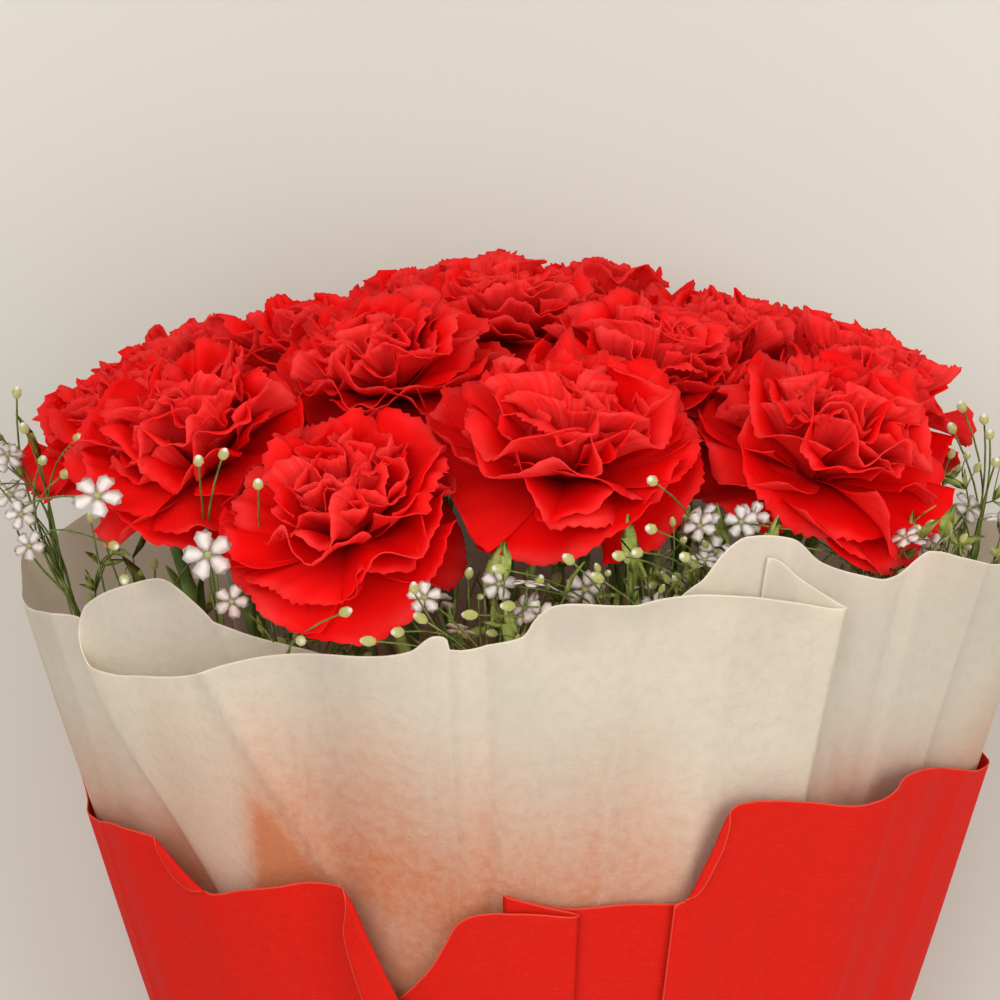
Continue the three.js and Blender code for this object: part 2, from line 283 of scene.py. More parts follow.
# %% The rings of petals
# Number of petals, lay from level in degrees, length and half width over the head's half width, height
# of the pleats over it, how far the two halves fold together and how far the edge curls, in degrees.
RINGS = [
    (6, -4, 1.15, 0.72, 0.060, 3, 25),
    (7, 15, 1.11, 0.64, 0.085, 8, 45),
    (8, 33, 1.08, 0.52, 0.105, 14, 60),
    (9, 50, 1.05, 0.45, 0.115, 20, 65),
    (9, 64, 1.02, 0.39, 0.120, 26, 65),
    (9, 78, 0.99, 0.33, 0.120, 32, 60),
]
print("petals of a head:", sum(ring[0] for ring in RINGS))

# %% One petal
ACROSS = 30  # faces across a petal, two for each tooth
ALONG = 9
PETAL_HALF_THICK = 0.13
TOOTH = 1.0
EDGE_LOBE = 0.035  # of the length, as the next two
EDGE_NICK = 0.012
EDGE_ROUNDING = 0.27
CLAW_TURN = 84  # degrees: the claw stands this steep in the calyx
CLAW_SHARE = 0.17  # of the length, over which the midrib bends to its lay
CLAW_OUT = 0.07  # the claw's place and half width, over those of the head and of the petal
CLAW_WIDTH = 0.09
CURL_START = 0.7  # of the length, where the edge starts to curl
FAN = 1.35  # radians of a sine, by which the width opens


def any_turn(rng):
    return rng.uniform(0, 6.3)


def petal_edge(rng, u, length):
    """How far the free edge reaches, for each place across the petal."""
    teeth = TOOTH / length * (np.arange(len(u)) % 2) * rng.uniform(0.3, 1.3, len(u))
    lobes = EDGE_LOBE * np.sin(u * rng.uniform(2.0, 4.0) + any_turn(rng))
    nicks = EDGE_NICK * np.sin(u * rng.uniform(8.0, 12.0) + any_turn(rng))
    return 1 - EDGE_ROUNDING * np.abs(u) ** 2.8 + lobes + nicks - teeth


def petal_rib(rng, size, lay, length, curl):
    """The midrib: reach outwards and upwards and its slope, for each place along it."""
    along = np.linspace(0, 1.1, 111)
    arch, roll = rng.uniform(0, 36), rng.uniform(-curl, 0.75 * curl)
    slope = lay + (CLAW_TURN - lay) * np.exp(-((along / CLAW_SHARE) ** 2))
    slope = slope - arch * np.clip(along - CURL_START / 2, 0, None) ** 2
    slope = np.radians(slope + roll * np.clip((along - CURL_START) / 0.3, 0, 1.2) ** 2)
    step = length * size * (along[1] - along[0])
    out, up = CLAW_OUT * size + np.cumsum(np.cos(slope)) * step, np.cumsum(np.sin(slope)) * step
    return along, out, up, slope


def petal_folds(rng, u, v, size, half_width, pleat, fold):
    """How far each point stands to the side and over the midrib; u runs across, v from claw to edge."""
    half = half_width * size * (CLAW_WIDTH + (1 - CLAW_WIDTH) * np.sin(v * FAN) / math.sin(FAN))
    cup = rng.uniform(0.2, 0.9) * 0.5 / (half_width * size) * np.sign(rng.uniform(-0.35, 1))
    flat = u * half
    beta = math.radians(fold * rng.uniform(0.4, 1.5)) * v
    side = np.sin(cup * flat) / cup * np.cos(beta)
    lift = (1 - np.cos(cup * flat)) / cup + np.abs(flat) * np.sin(beta)
    beat, phase = rng.uniform(3.2, 6.0), any_turn(rng)
    big = np.sin(beat * u + phase + 0.9 * np.sin(2.1 * u + any_turn(rng)) + 0.7 * v)
    small = np.sin(rng.uniform(11, 16) * u + any_turn(rng) + 2 * v)
    lift = lift + pleat * rng.uniform(0.6, 1.5) * size * (v**1.7 * big + 0.26 * v**4 * small)
    return turned(side, lift, np.clip(rng.normal(0, 0.34), -0.6, 0.6) * v)


def turned(x, y, angle):
    c, s = np.cos(angle), np.sin(angle)
    return x * c - y * s, x * s + y * c


def petal_grid(rng, size, lay, length, half_width, pleat, fold, curl):
    """Points of one petal round the z axis: an array of rows from claw to edge."""
    v, u = np.meshgrid(np.linspace(0, 1, ALONG + 1) ** 0.8, np.linspace(-1, 1, ACROSS + 1), indexing="ij")
    reach = v * (1 - (1 - petal_edge(rng, u[0], length * size)[None, :]) * v**1.6)
    along, *rib = petal_rib(rng, size, lay, length, curl)
    out, up, lean = (np.interp(reach, along, curve) for curve in rib)
    side, lift = petal_folds(rng, u, v, size, half_width, pleat, fold)
    x, y = turned(out - lift * np.sin(lean), side, rng.normal(0, 0.16) * v**1.5)
    grid = np.stack([x, y, up + lift * np.cos(lean)], axis=-1)
    return grid, np.stack([u / 2 + 0.5, reach], axis=-1)


# %% [markdown]
# A grid has no thickness, and a solid petal needs two faces and a rim between them. The faces are set a
# little to each side of the grid, along its normals, and joined round the edge, so each petal is closed.

# %% From grids to one mesh
def grid_normals(grid):
    along = np.gradient(grid, axis=0)
    across = np.gradient(grid, axis=1)
    normal = np.cross(along, across)
    return normal / np.maximum(np.linalg.norm(normal, axis=-1, keepdims=True), 1e-9)


def thick_faces(rows, columns):
    """Faces of a thick grid: its front, its back, and the rim round both."""
    at = np.arange(rows * columns).reshape(rows, columns)
    a, b, c, d = at[:-1, :-1], at[1:, :-1], at[1:, 1:], at[:-1, 1:]
    front = np.stack([a, b, c, d], -1).reshape(-1, 4)
    back = front[:, ::-1] + rows * columns
    loop = np.concatenate([at[0, :-1], at[:-1, -1], at[-1, :0:-1], at[:0:-1, 0]])
    after = np.roll(loop, -1)
    rim = np.stack([loop, after, after + rows * columns, loop + rows * columns], -1)
    return np.concatenate([front, back, rim])


def thickened(grid, half_thick):
    normal = grid_normals(grid) * half_thick
    return np.concatenate([(grid + normal).reshape(-1, 3), (grid - normal).reshape(-1, 3)])


def mesh_from(name, points, faces, material, uv=None, values=None, smooth=None):
    """A mesh laid on the table; uv and values are given per point, smooth per face."""
    mesh = bpy.data.meshes.new(name)
    mesh.vertices.add(len(points))
    mesh.vertices.foreach_set("co", laid(points).astype(np.float32).ravel())
    mesh.loops.add(faces.size)
    mesh.loops.foreach_set("vertex_index", faces.astype(np.int32).ravel())
    mesh.polygons.add(len(faces))
    mesh.polygons.foreach_set("loop_start", np.arange(0, faces.size, faces.shape[1], dtype=np.int32))
    mesh.polygons.foreach_set("use_smooth", np.ones(len(faces), bool) if smooth is None else smooth)
    mesh.materials.append(material)
    mesh.update(calc_edges=True)
    if uv is not None:
        layer = mesh.uv_layers.new(name=uv[0])
        layer.data.foreach_set("uv", uv[1][faces.ravel()].astype(np.float32).ravel())
    for key, numbers in (values or {}).items():
        attribute = mesh.attributes.new(key, "FLOAT", "POINT")
        attribute.data.foreach_set("value", numbers.astype(np.float32))
    mesh.validate()
    return in_scene(name, mesh)


def standing_for(piece, slot, *nodes):
    """Hangs a piece on the root and hides the CAD nodes that it replaces; slot, which would name its finish,
    is not used.
    """
    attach(piece, "root")
    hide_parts(*nodes)
    return piece


# %% [markdown]
# The CAD model says where each head sits: the ring of eight corners at the calyx's mouth gives its
# middle and its direction. Heads in a bunch press on each other, so petals that would cross the plane
# between two heads crowd up in front of it, and are pushed a little outwards instead.

# %% Where the heads are
HEAD_NAMES = sorted(name.removeprefix("carnation_").removesuffix("_petals")
                    for name in frame["nodes"] if name.endswith("_petals"))
MOUTH_CORNERS = 8
HEAD_MIDDLE_RISE = 14
CAD_HEAD_OVER_HALF = 1.05  # how far the CAD head reaches, over the half width that petals are sized by
NEIGHBOURS_WITHIN = 90.0
# Degrees added to the lay of the outer petals, for the heads seen in the photograph and for the others.
DROOP = {"front_middle": 3, "front": -5, "front_left": -8, "front_right": -8, "left": -6}
DROOP_INSIDE = -8


def read_head(name):
    petals = node_points(f"carnation_{name}_petals")
    stem = node_points(f"carnation_{name}_stem")
    away = np.linalg.norm(stem - petals.mean(0), axis=1)
    mouth = stem[np.argsort(away)[:MOUTH_CORNERS]]
    middle = mouth.mean(0)
    axis = np.linalg.svd(mouth - middle)[2][2]  # square to the plane through the corners
    axis = axis * np.sign(axis @ (petals.mean(0) - middle))
    off_axis = petals - middle
    off_axis = off_axis - np.outer(off_axis @ axis, axis)
    return {"name": name, "mouth": middle, "axis": axis, "stem": stem,
            "middle": middle + axis * HEAD_MIDDLE_RISE,
            "half": np.linalg.norm(off_axis, axis=1).max() / CAD_HEAD_OVER_HALF}


HEADS = [read_head(name) for name in HEAD_NAMES]
for head in HEADS:
    head["near"] = [other for other in HEADS if other is not head
                    and np.linalg.norm(other["middle"] - head["middle"]) < NEIGHBOURS_WITHIN]
print("heads:", len(HEADS), "half widths:", [round(float(head["half"])) for head in HEADS])

# %% How heads press on each other
PRESS_BAND = 8.0  # mm over which petals crowd at the plane between two heads
PRESS_OVER = 4.0  # mm that they may reach past the plane
PRESS_LIFT = 0.5
PRESS_MOST = 4.0


def upright_frame(axis):
    side = np.cross(axis, (0, 1, 0))
    side = side / np.linalg.norm(side)
    return np.stack([side, np.cross(axis, side), axis])


def spun(angle):
    """A matrix for rows of points, which turns them round the z axis."""
    c, s = math.cos(angle), math.sin(angle)
    return np.array([[c, s, 0], [-s, c, 0], [0, 0, 1]])


def pressed(points, head):
    """Petals that would cross the plane between two heads crowd up in front of it."""
    for other in head["near"]:
        way = other["middle"] - head["middle"]
        distance = np.linalg.norm(way)
        way = way / distance
        reach = distance * head["half"] / (head["half"] + other["half"])
        past = (points - head["middle"]) @ way - reach - PRESS_OVER + PRESS_BAND
        crowded = np.where(past > 0, PRESS_BAND * (1 - np.exp(-past.clip(0) / PRESS_BAND)), past)
        lift = np.minimum(PRESS_LIFT * (past - crowded), PRESS_MOST)
        points = points - np.outer(past - crowded, way) + np.outer(lift, head["axis"])
    return points


# %% Petals of a head
HEAD_TOP, HEAD_TOP_IN_FRONT = 29.0, 36.0  # mm over the calyx where petals are held down, for an even dome
HEAD_TOP_WAVE = 4.0
HEAD_TOP_WAVES = 5
HEAD_GIVE = 7.0  # mm that petals still rise past their top
LONG_PETAL, LONG_PETALS = 0.14, 0.16  # how much longer, and how many of the inner ones
DROOPING_RINGS = 2


def petal_reach(rng, level):
    """Petals differ in length; now and then an inner one stands well out."""
    return rng.uniform(0.88, 1.06) + (LONG_PETAL if level and rng.uniform() < LONG_PETALS else 0.0)


def held_down(grid, top, wave):
    """Lets a petal rise past the top of its head by a few millimetres only."""
    over = (grid[..., 2] - top - wave).clip(0)
    grid[..., 2] -= over - HEAD_GIVE * (1 - np.exp(-over / HEAD_GIVE))
    return grid


def head_piece(head, seed):
    rng = np.random.default_rng(seed)
    turn = upright_frame(head["axis"])
    parts = {"points": [], "uv": [], "tint": [], "back": [], "faces": [], "smooth": []}
    quads = thick_faces(ALONG + 1, ACROSS + 1)
    top = HEAD_TOP_IN_FRONT if head["name"].startswith("front") else HEAD_TOP
    for level, (number, lay, length, half_width, pleat, fold, curl) in enumerate(RINGS):
        start = rng.uniform(0, 2 * math.pi)
        lay = lay + DROOP.get(head["name"], DROOP_INSIDE) * max(0, 1 - level / DROOPING_RINGS)
        for k in range(number):
            grid, uv = petal_grid(rng, head["half"], lay + rng.normal(0, 9), length * petal_reach(rng, level),
                                  half_width * rng.uniform(0.85, 1.15), pleat, fold, curl)
            spin = start + 2 * math.pi * (k + rng.uniform(-0.28, 0.28)) / number
            grid = held_down(grid, top, HEAD_TOP_WAVE * math.sin(HEAD_TOP_WAVES * spin))
            local = thickened(grid, PETAL_HALF_THICK) @ spun(spin)
            parts["faces"].append(quads + len(local) * len(parts["faces"]))
            parts["points"].append(local @ turn + head["mouth"])
            parts["uv"].append(np.tile(uv.reshape(-1, 2), (2, 1)))
            parts["tint"].append(np.full(len(local), rng.uniform(0, 1)))
            parts["back"].append(np.repeat([0.0, 1.0], len(local) // 2))
            parts["smooth"].append(np.arange(len(quads)) < 2 * ALONG * ACROSS)
    joined = {key: np.concatenate(values) for key, values in parts.items()}
    piece = mesh_from(f"petals_{head['name']}", pressed(joined["points"], head), joined["faces"], PETAL,
                      ("petal", joined["uv"]), {"tint": joined["tint"], "back": joined["back"]},
                      smooth=joined["smooth"])
    return standing_for(piece, "petals", f"carnation_{head['name']}_petals")


petal_pieces = [head_piece(head, seed) for seed, head in enumerate(HEADS, 41)]
print("petals done:", sum(len(piece.data.polygons) for piece in petal_pieces), "faces")

# %% [markdown]
# The wrapping is non-woven cloth: fibres pressed into a sheet that looks matt and a little cloudy, with
# short fibres lying in all directions and a pale line where it is cut. Light comes through it, so where the
# white cloth has red cloth behind it, it looks salmon: that red light is painted into its colour. Three
# attributes steer the finish: `edge` is the distance to the cut edge in millimetres, `blush` the painted red
# light showing through, and past one a painted shade in a fold, and `plies` how many layers of white lie on
# each other. Fibres are noise stretched along two directions of the cloth's own UV map.

# %% Cloth finishes
FIBRE_SLIMNESS = 9  # length over width of a fibre


def fibres(tree, place, turn, size):
    """Short streaks along one direction of the cloth."""
    inputs = {"Vector": place, "Rotation": (0, 0, turn), "Scale": (size, size * FIBRE_SLIMNESS, 1)}
    return tree.noise(tree.add("ShaderNodeMapping", {}, inputs), 1.0, 3.0, 0.6)


def cloth_finish(name, thin, dense, fleck, fleck_share, cut, red_light_through, fold_shade, glow, glow_share):
    """Cloth colours where it is thin or dense, on fibres, at a cut edge, and painted red light and shade over
    red cloth.
    """
    material, tree = new_material(name)
    place = tree.uv("cloth")
    edge, blush, plies = (tree.attribute(key) for key in ("edge", "blush", "plies"))
    streaks = fibres(tree, place, 0.5, 20.0).math("MAXIMUM", fibres(tree, place, -0.9, 26.0))
    cloud = tree.noise(place, 2.2, 3.0)
    speck = tree.noise(place, 90.0, 2.0)
    mottle = tree.noise(place, 26.0, 3.0, 0.7)
    thickness = plies * cloud.ramp(0.2, 0.6, 0.6, 1.0) * mottle.ramp(0.3, 0.62, 0.62, 1.06)
    shown = blush * cloud.ramp(0.25, 0.65, 0.75, 1.0) * mottle.ramp(0.3, 0.7, 1.06, 0.86)
    flecks = streaks.ramp(0.55, 0.85, 0.0, fleck_share) + speck.ramp(0.6, 0.9, 0.0, fleck_share)
    colour = tree.mix(thickness, thin, dense)
    # Painted red light: the red cloth behind seen through the white.
    colour = tree.mix(shown, colour, red_light_through)
    # Where blush is past one: painted shade in a fold.
    colour = tree.mix((blush - 1.0).math("MAXIMUM", 0.0), colour, fold_shade)
    colour = tree.mix(flecks, colour, fleck)
    colour = tree.mix(edge.ramp(0.2, 0.6, 0.6, 0.0), colour, cut)
    height = streaks * 0.7 + speck * 0.5 + mottle * 0.9
    finish_surface(tree, colour, cloud.ramp(0.2, 0.8, 0.72, 0.9), height, 0.22, 0.2, glow, glow_share)
    return material


CLOTHS = {
    "white": cloth_finish(
        "white_cloth", thin=(0.60, 0.57, 0.50, 1), dense=(0.80, 0.745, 0.645, 1),
        fleck=(0.92, 0.89, 0.82, 1), fleck_share=0.36, cut=(0.98, 0.93, 0.84, 1),
        # Painted red light through the cloth, and painted shade in a fold.
        red_light_through=(0.66, 0.23, 0.11, 1), fold_shade=(0.50, 0.14, 0.045, 1),
        glow=(0.94, 0.88, 0.78, 1), glow_share=0.48),
    "red": cloth_finish(
        "red_cloth", thin=(0.56, 0.007, 0.002, 1), dense=(0.70, 0.009, 0.002, 1),
        fleck=(0.84, 0.04, 0.015, 1), fleck_share=0.6, cut=(0.86, 0.11, 0.06, 1),
        # The same painted red light and fold shade; red sheets are given no blush.
        red_light_through=(0.70, 0.012, 0.004, 1), fold_shade=(0.40, 0.004, 0.002, 1),
        glow=(0.85, 0.015, 0.004, 1), glow_share=0.22),
}
print("materials:", *(material.name for material in CLOTHS.values()))

# %% [markdown]
# Eight sheets are gathered at the tie and open like a funnel towards the flowers. A sheet could be laid
# flat and draped by a cloth simulation, but its rim should have the dips, turned corners and pleats of
# the photograph, so each sheet is lofted: a table of stations says how its rim runs. Going along the
# rim, the angle may turn back, which lays the cloth in a knife pleat. Between the waist and
# the rim every sheet follows one outline, so that all layers lie in each other.

# %% The funnel that all sheets follow
OUTLINE_HEIGHTS = (-58, -14, 14, 70, 160, 262, 500)
OUTLINE_HALF_WIDTHS = (44, 24.2, 24.2, 53, 92, 129, 195.6)
OPEN_AT = 262.0  # mm over the tie where the funnel has its full depth
WAIST_HALF = 14.0
DEEP = 0.92  # depth over width, once open
SIDE_BULGE, BULGE_AT, BULGE_WIDE = 5, 80, 16  # mm, and degrees from the front on both sides
SKY = np.array([0, -math.cos(LIE_TILT), math.sin(LIE_TILT)])
TABLE_DROP = TIE.z / MM
TABLE_GAP, TABLE_PITCH, TABLE_SOFTNESS = 0.5, 1.2, 4.0  # how layers lie on each other on the table
# Folds that all layers share: how many go round, how high in mm, and where they start.
BROAD_FOLDS = ((5, 1.6, 0.4), (8, 1.5, 2.2), (13, 1.2, 4.0), (19, 0.8, 1.1), (29, 0.5, 5.3))
FINE_FOLDS, FINE_FOLD = 13, 2.6


def smooth_through(at, xs, ys):
    """A curve through given values that never swings past them."""
    xs, ys = np.asarray(xs, float), np.asarray(ys, float)
    step = np.diff(xs)
    slope = np.diff(ys) / step
    turn = np.zeros(len(xs))
    turn[0], turn[-1] = slope[0], slope[-1]
    left, right = 2 * step[1:] + step[:-1], step[1:] + 2 * step[:-1]
    same = slope[:-1] * slope[1:] > 1e-12
    safe = np.where(same, slope[:-1], 1), np.where(same, slope[1:], 1)
    turn[1:-1] = np.where(same, (left + right) / (left / safe[0] + right / safe[1]), 0)
    i = np.clip(np.searchsorted(xs, at) - 1, 0, len(step) - 1)
    t = (at - xs[i]) / step[i]
    a, b = ys[i], ys[i + 1]
    c, d = turn[i] * step[i], turn[i + 1] * step[i]
    return a + t * (c + t * (3 * (b - a) - 2 * c - d + t * (2 * (a - b) + c + d)))


def eased(value, low, high):
    """From 0 to 1 between two values, with soft ends."""
    t = np.clip((value - low) / (high - low), 0, 1)
    return t * t * (3 - 2 * t)


def gathers(angle, height):
    """The height of the folds: fine pleats near the tie, broad waves towards the rim."""
    away = np.abs(height) - WAIST_HALF
    near = eased(away, 0, 50) * (1 - 0.85 * eased(away, 70, 260))
    pleat = np.abs(np.sin(FINE_FOLDS * angle + 0.8 * np.sin(3 * angle + 1) + 0.5 * np.sin(7 * angle)))
    fine = FINE_FOLD * near * (1 - pleat**0.7)
    broad = sum(size * np.sin(number * angle + start) for number, size, start in BROAD_FOLDS)
    return fine + broad * eased(away, 10, 320)


def funnel(angle, height, inset, layer):
    """Points of the wrapping, for angles from the front round to the right, laid on the table below."""
    opened = np.clip((np.abs(height) - WAIST_HALF) / (OPEN_AT - WAIST_HALF), 0, 1)
    wrapped = (np.abs(np.degrees(angle)) + 180) % 360 - 180
    side = SIDE_BULGE * np.exp(-(((np.abs(wrapped) - BULGE_AT) / BULGE_WIDE) ** 2)) * opened
    r = smooth_through(height, OUTLINE_HEIGHTS, OUTLINE_HALF_WIDTHS) - inset + side + gathers(angle, height)
    points = np.stack([r * np.sin(angle), -r * np.cos(angle) * (1 - (1 - DEEP) * opened), height], -1)
    under = TABLE_GAP + TABLE_PITCH * layer - (points @ SKY + TABLE_DROP)
    lift = 0.5 * (under + np.sqrt(under**2 + TABLE_SOFTNESS))
    return points + lift[..., None] * SKY * eased(opened, 0.0, 0.1)[..., None]


half_at_rim = float(smooth_through(350.0, OUTLINE_HEIGHTS, OUTLINE_HALF_WIDTHS))
print("funnel half width at the red rims:", round(half_at_rim, 1))

# %% [markdown]
# A station of a rim is four numbers: the angle round the bunch, counted from the front to the right, the
# height over the tie, how far inside the outermost skin it stands, and how much of the edge is turned over
# outwards. The columns of the sheet are spread evenly along a smooth curve through the stations.

# %% Lofting a sheet
LAYER_PITCH = 1.1
WHITE_LAYER = 3  # layers from this one inwards are white
CREASES_READ_AT = 400  # mm over the tie; a crease's slant is in degrees for each 100 mm above
CREASE_FADE = 60
CORNER_TOP = 411.0  # the turned left corner in front: its height, its fold and both ends, in degrees
CORNER_FOLD, CORNER_LEFT, CORNER_RIGHT = -61.0, -86, -25
CORNER_SLANT, CORNER_DROP = 18, 71  # degrees that it moves to the front, over this much height


def sheet_columns(stations, layer, spacing):
    """Angle, height, inset and turned length for each column along the rim."""
    table = np.array([tuple(row) + (0,) * (4 - len(row)) for row in stations], float)
    table[:, 0] = np.radians(table[:, 0])
    rim = funnel(table[:, 0], table[:, 1], table[:, 2], layer)
    along = np.concatenate([[0], np.cumsum(np.linalg.norm(np.diff(rim, axis=0), axis=1))])
    at = np.linspace(0, along[-1], int(along[-1] / spacing) + 1)
    return at, [smooth_through(at, along, table[:, k]) for k in range(4)]


def creased(angle, height, creases):
    """Sharp folds of one sheet: each has an angle, a slant, a depth, a width and its lowest height."""
    rise = np.zeros_like(angle)
    for where, slant, depth, wide, low in creases:
        off = np.degrees(angle) - where - slant * (height - CREASES_READ_AT) / 100
        rise += depth * np.exp(-np.abs(off) / wide) * eased(height, low, low + CREASE_FADE)
    return rise


def slanted(angle, height):
    """The turned corner on the left slants: lower down it lies further to the front."""
    place = np.degrees(angle)
    from_left = (place - CORNER_LEFT) / (CORNER_FOLD - CORNER_LEFT)
    from_right = (CORNER_RIGHT - place) / (CORNER_RIGHT - CORNER_FOLD)
    near = np.where(place < CORNER_FOLD, from_left, from_right).clip(0, 1)
    drop = np.clip((CORNER_TOP - height) / CORNER_DROP, 0, 1)
    return angle + np.radians(CORNER_SLANT) * drop**1.15 * near


# %% Rows of a sheet
LOW_ROWS = np.array([-58, -50, -42, -34, -27, -20, -14, 0, 14, 20, 27, 35, 44, 54, 66, 80, 95, 110])
HIGH_ROWS = 44  # from the last of these heights up to the rim
EDGE_ROWS = 8
STEPS_PER_EDGE_ROW = 4
PLAIN_EDGE = 0.6
TURN_ANGLE = math.radians(172)
TURN_LENGTH = 2.6  # mm of cloth in the bend of a turned edge
HUG_HEIGHT = 365.0  # where the red rim presses on the white cloth


def unit(vectors):
    return vectors / np.linalg.norm(vectors, axis=-1, keepdims=True)


def edge_rows(rim, below, turned):
    """Rows that carry the sheet on past its rim, where it is cut off or turned over outwards."""
    along = unit(np.gradient(rim, axis=0))
    up = rim - below
    up = unit(up - np.sum(up * along, 1, keepdims=True) * along)
    out = np.cross(along, up)
    length = np.maximum(turned, PLAIN_EDGE)
    bend = TURN_ANGLE * eased(length, PLAIN_EDGE, 3.0)
    rows, edge = [], rim
    steps = STEPS_PER_EDGE_ROW * EDGE_ROWS
    for k in range(steps):
        done = (k + 0.5) / steps * length
        phi = (bend * eased(done, 0, np.minimum(TURN_LENGTH, 0.9 * length)))[:, None]
        edge = edge + (length / steps)[:, None] * (np.cos(phi) * up + np.sin(phi) * out)
        rows.append(edge)
    return np.stack(rows[STEPS_PER_EDGE_ROW - 1::STEPS_PER_EDGE_ROW])


def sheet_grid(stations, layer, hug, spacing, creases):
    """Points of a sheet; hug is how far inside the skin it lies where the red rim presses on it."""
    at, (angle, top, inset, turned) = sheet_columns(stations, layer, spacing)
    low = np.repeat(LOW_ROWS[:, None], len(at), 1).astype(float)
    share = np.linspace(0, 1, HIGH_ROWS + 1)[1:, None]
    height = np.concatenate([low, LOW_ROWS[-1] + (top - LOW_ROWS[-1]) * share])
    angles = np.repeat(angle[None], len(height), 0)
    if layer >= WHITE_LAYER:
        angles = slanted(angles, height)
    base, rested = layer * LAYER_PITCH, np.maximum(hug, inset * 0.5)
    hugging = base + (rested - base) * eased(height, 60, HUG_HEIGHT)
    insets = hugging + (inset - rested) * eased(height, np.minimum(0.55 * top, 250), top)
    body = funnel(angles, height, insets - creased(angles, height, creases), layer)
    return np.concatenate([body, edge_rows(body[-1], body[-2], turned)]), at


# %% A sheet as a piece
CLOTH_HALF_THICK = 0.18
UV_PER_MM = 0.01
SINGLE_PLY = 0.6


def summed(steps, axis):
    """Lengths from the first row or column on, from the lengths of the steps between them."""
    return np.insert(np.cumsum(steps, axis=axis), 0, 0, axis=axis)


def cloth_sheet(colour, place, stations, layer, hug, spacing, creases=(), blush=None, plies=None):
    """A closed thin sheet that stands for one CAD node."""
    name = f"{colour}_cloth_{place}"
    grid, at = sheet_grid(stations, layer, hug, spacing, creases)
    rows, columns = grid.shape[:2]
    up = summed(np.linalg.norm(np.diff(grid, axis=0), axis=2), 0)
    across = np.broadcast_to(at, grid.shape[:2])
    sides = [np.linalg.norm(grid - grid[:, k][:, None], axis=2) for k in (0, -1)]
    values = {
        "edge": np.minimum(up[-1] - up, np.minimum(*sides)),
        "blush": blush(grid) if blush else 0.0,
        "plies": plies(across, grid[..., 2]) if plies else SINGLE_PLY,
    }
    values = {key: np.tile(np.broadcast_to(value, across.shape).ravel(), 2) for key, value in values.items()}
    faces = thick_faces(rows, columns)
    uv = np.stack([across * UV_PER_MM, up * UV_PER_MM], -1).reshape(-1, 2)
    smooth = np.arange(len(faces)) < 2 * (rows - 1) * (columns - 1)
    piece = mesh_from(name, thickened(grid, CLOTH_HALF_THICK), faces, CLOTHS[colour],
                      ("cloth", np.tile(uv, (2, 1))), values, smooth)
    standing_for(piece, f"{colour}_cloth", f"{colour}_sheet_{place}")
    return piece


# %% [markdown]
# The red sheets come first. The one at the back lies on the table. The left one ends in a wide turned
# corner in front. The front one has a knife pleat in the middle, and the right one comes from behind
# it, with a small turned edge beside the pleat.

# %% Red sheets
RED_BACK = [
    (118, 384, 1), (140, 388, 1), (160, 393, 1), (180, 396, 1), (200, 392, 1), (222, 386, 1), (242, 384, 1),
]
RED_LEFT = [
    (-138, 382, 3), (-124, 374, 3), (-108, 364, 3.5), (-96, 364, 4), (-88, 366, 5), (-80, 354, 5),
    (-75, 350.5, 4.5), (-66.5, 352, 2.5), (-56.5, 357.5, 1.5), (-50.5, 358, 2, 0), (-48.6, 355, 2, 4.5),
    (-46, 350, 2, 6.5), (-43.6, 346, 2, 5), (-41.4, 343.5, 2, 0), (-36, 347.5, 2.5), (-32.2, 350, 2.5),
    (-26, 353.6, 2.2), (-23, 353.9, 2, 0.6), (-21.9, 351, 1.8, 2.5), (-19.9, 338.7, 1.6, 10),
    (-16.3, 315.9, 1.4, 13.5), (-11.5, 286, 1.2, 15), (-7, 255, 1, 15), (-3, 222, 1, 13), (1, 185, 1, 8),
    (4, 150, 1, 3),
]
RED_FRONT = [
    (-33, 286, 6), (-24, 300, 5.5), (-16.8, 314.5, 5), (-11.6, 329.3, 4), (-9.6, 338.5, 3.8),
    (-8.1, 345.6, 3.6), (-6.3, 348.9, 3.4), (-2.9, 350.3, 3.2), (1.4, 349.8, 3), (5.4, 348.6, 3.2),
    (5.9, 348.8, 3.9), (5.3, 349.4, 4.6), (1, 352.5, 5), (-2.4, 355.5, 5.2), (-2.9, 356, 5.8),
    (-2.3, 355.4, 6.4), (0.2, 352.9, 6.4), (5.9, 350.3, 6.2), (13.6, 350.7, 5.8), (19.3, 350.2, 5.5),
    (30, 352, 5.5), (41, 354, 6),
]
RED_RIGHT = [
    (17.0, 351.0, 3.4), (18.2, 351.8, 3.2, 0.6), (19.2, 355.5, 3, 3.4), (20.1, 362.5, 3, 4.6),
    (21.1, 369.6, 3, 4.6), (22, 377.5, 3, 3.6), (22.7, 382.2, 3, 1.2), (23.6, 383.8, 3), (25.1, 383.8, 3),
    (31.9, 380.5, 3.2), (41.7, 375.1, 3.2), (45, 375.2, 3), (49, 379.3, 2.5), (52.5, 379, 2.5),
    (57, 376.6, 3), (66, 369.5, 4.5), (74, 363.5, 5.2), (80, 362, 5.5), (88, 360.5, 4), (95, 358, 2.5),
    (104, 360, 3), (120, 370, 3), (138, 380, 3),
]
cloth_sheet("red", "back", RED_BACK, layer=0, hug=0.5, spacing=4.0)
cloth_sheet("red", "left", RED_LEFT, layer=1, hug=2.0, spacing=1.8,
            creases=[(-62, 2, 1.6, 1.6, 180), (-32, -3, 1.2, 1.4, 200), (-100, 0, 1.6, 2, 160)])
cloth_sheet("red", "front", RED_FRONT, layer=2, hug=4.5, spacing=1.5,
            creases=[(-1.5, 1, 0.8, 1.2, 220)])
cloth_sheet("red", "right", RED_RIGHT, layer=1, hug=2.6, spacing=1.8,
            creases=[(27, -2, 1.0, 1.2, 200), (47, 1, 1.8, 2, 180), (68, 2, 1.4, 2, 160)])

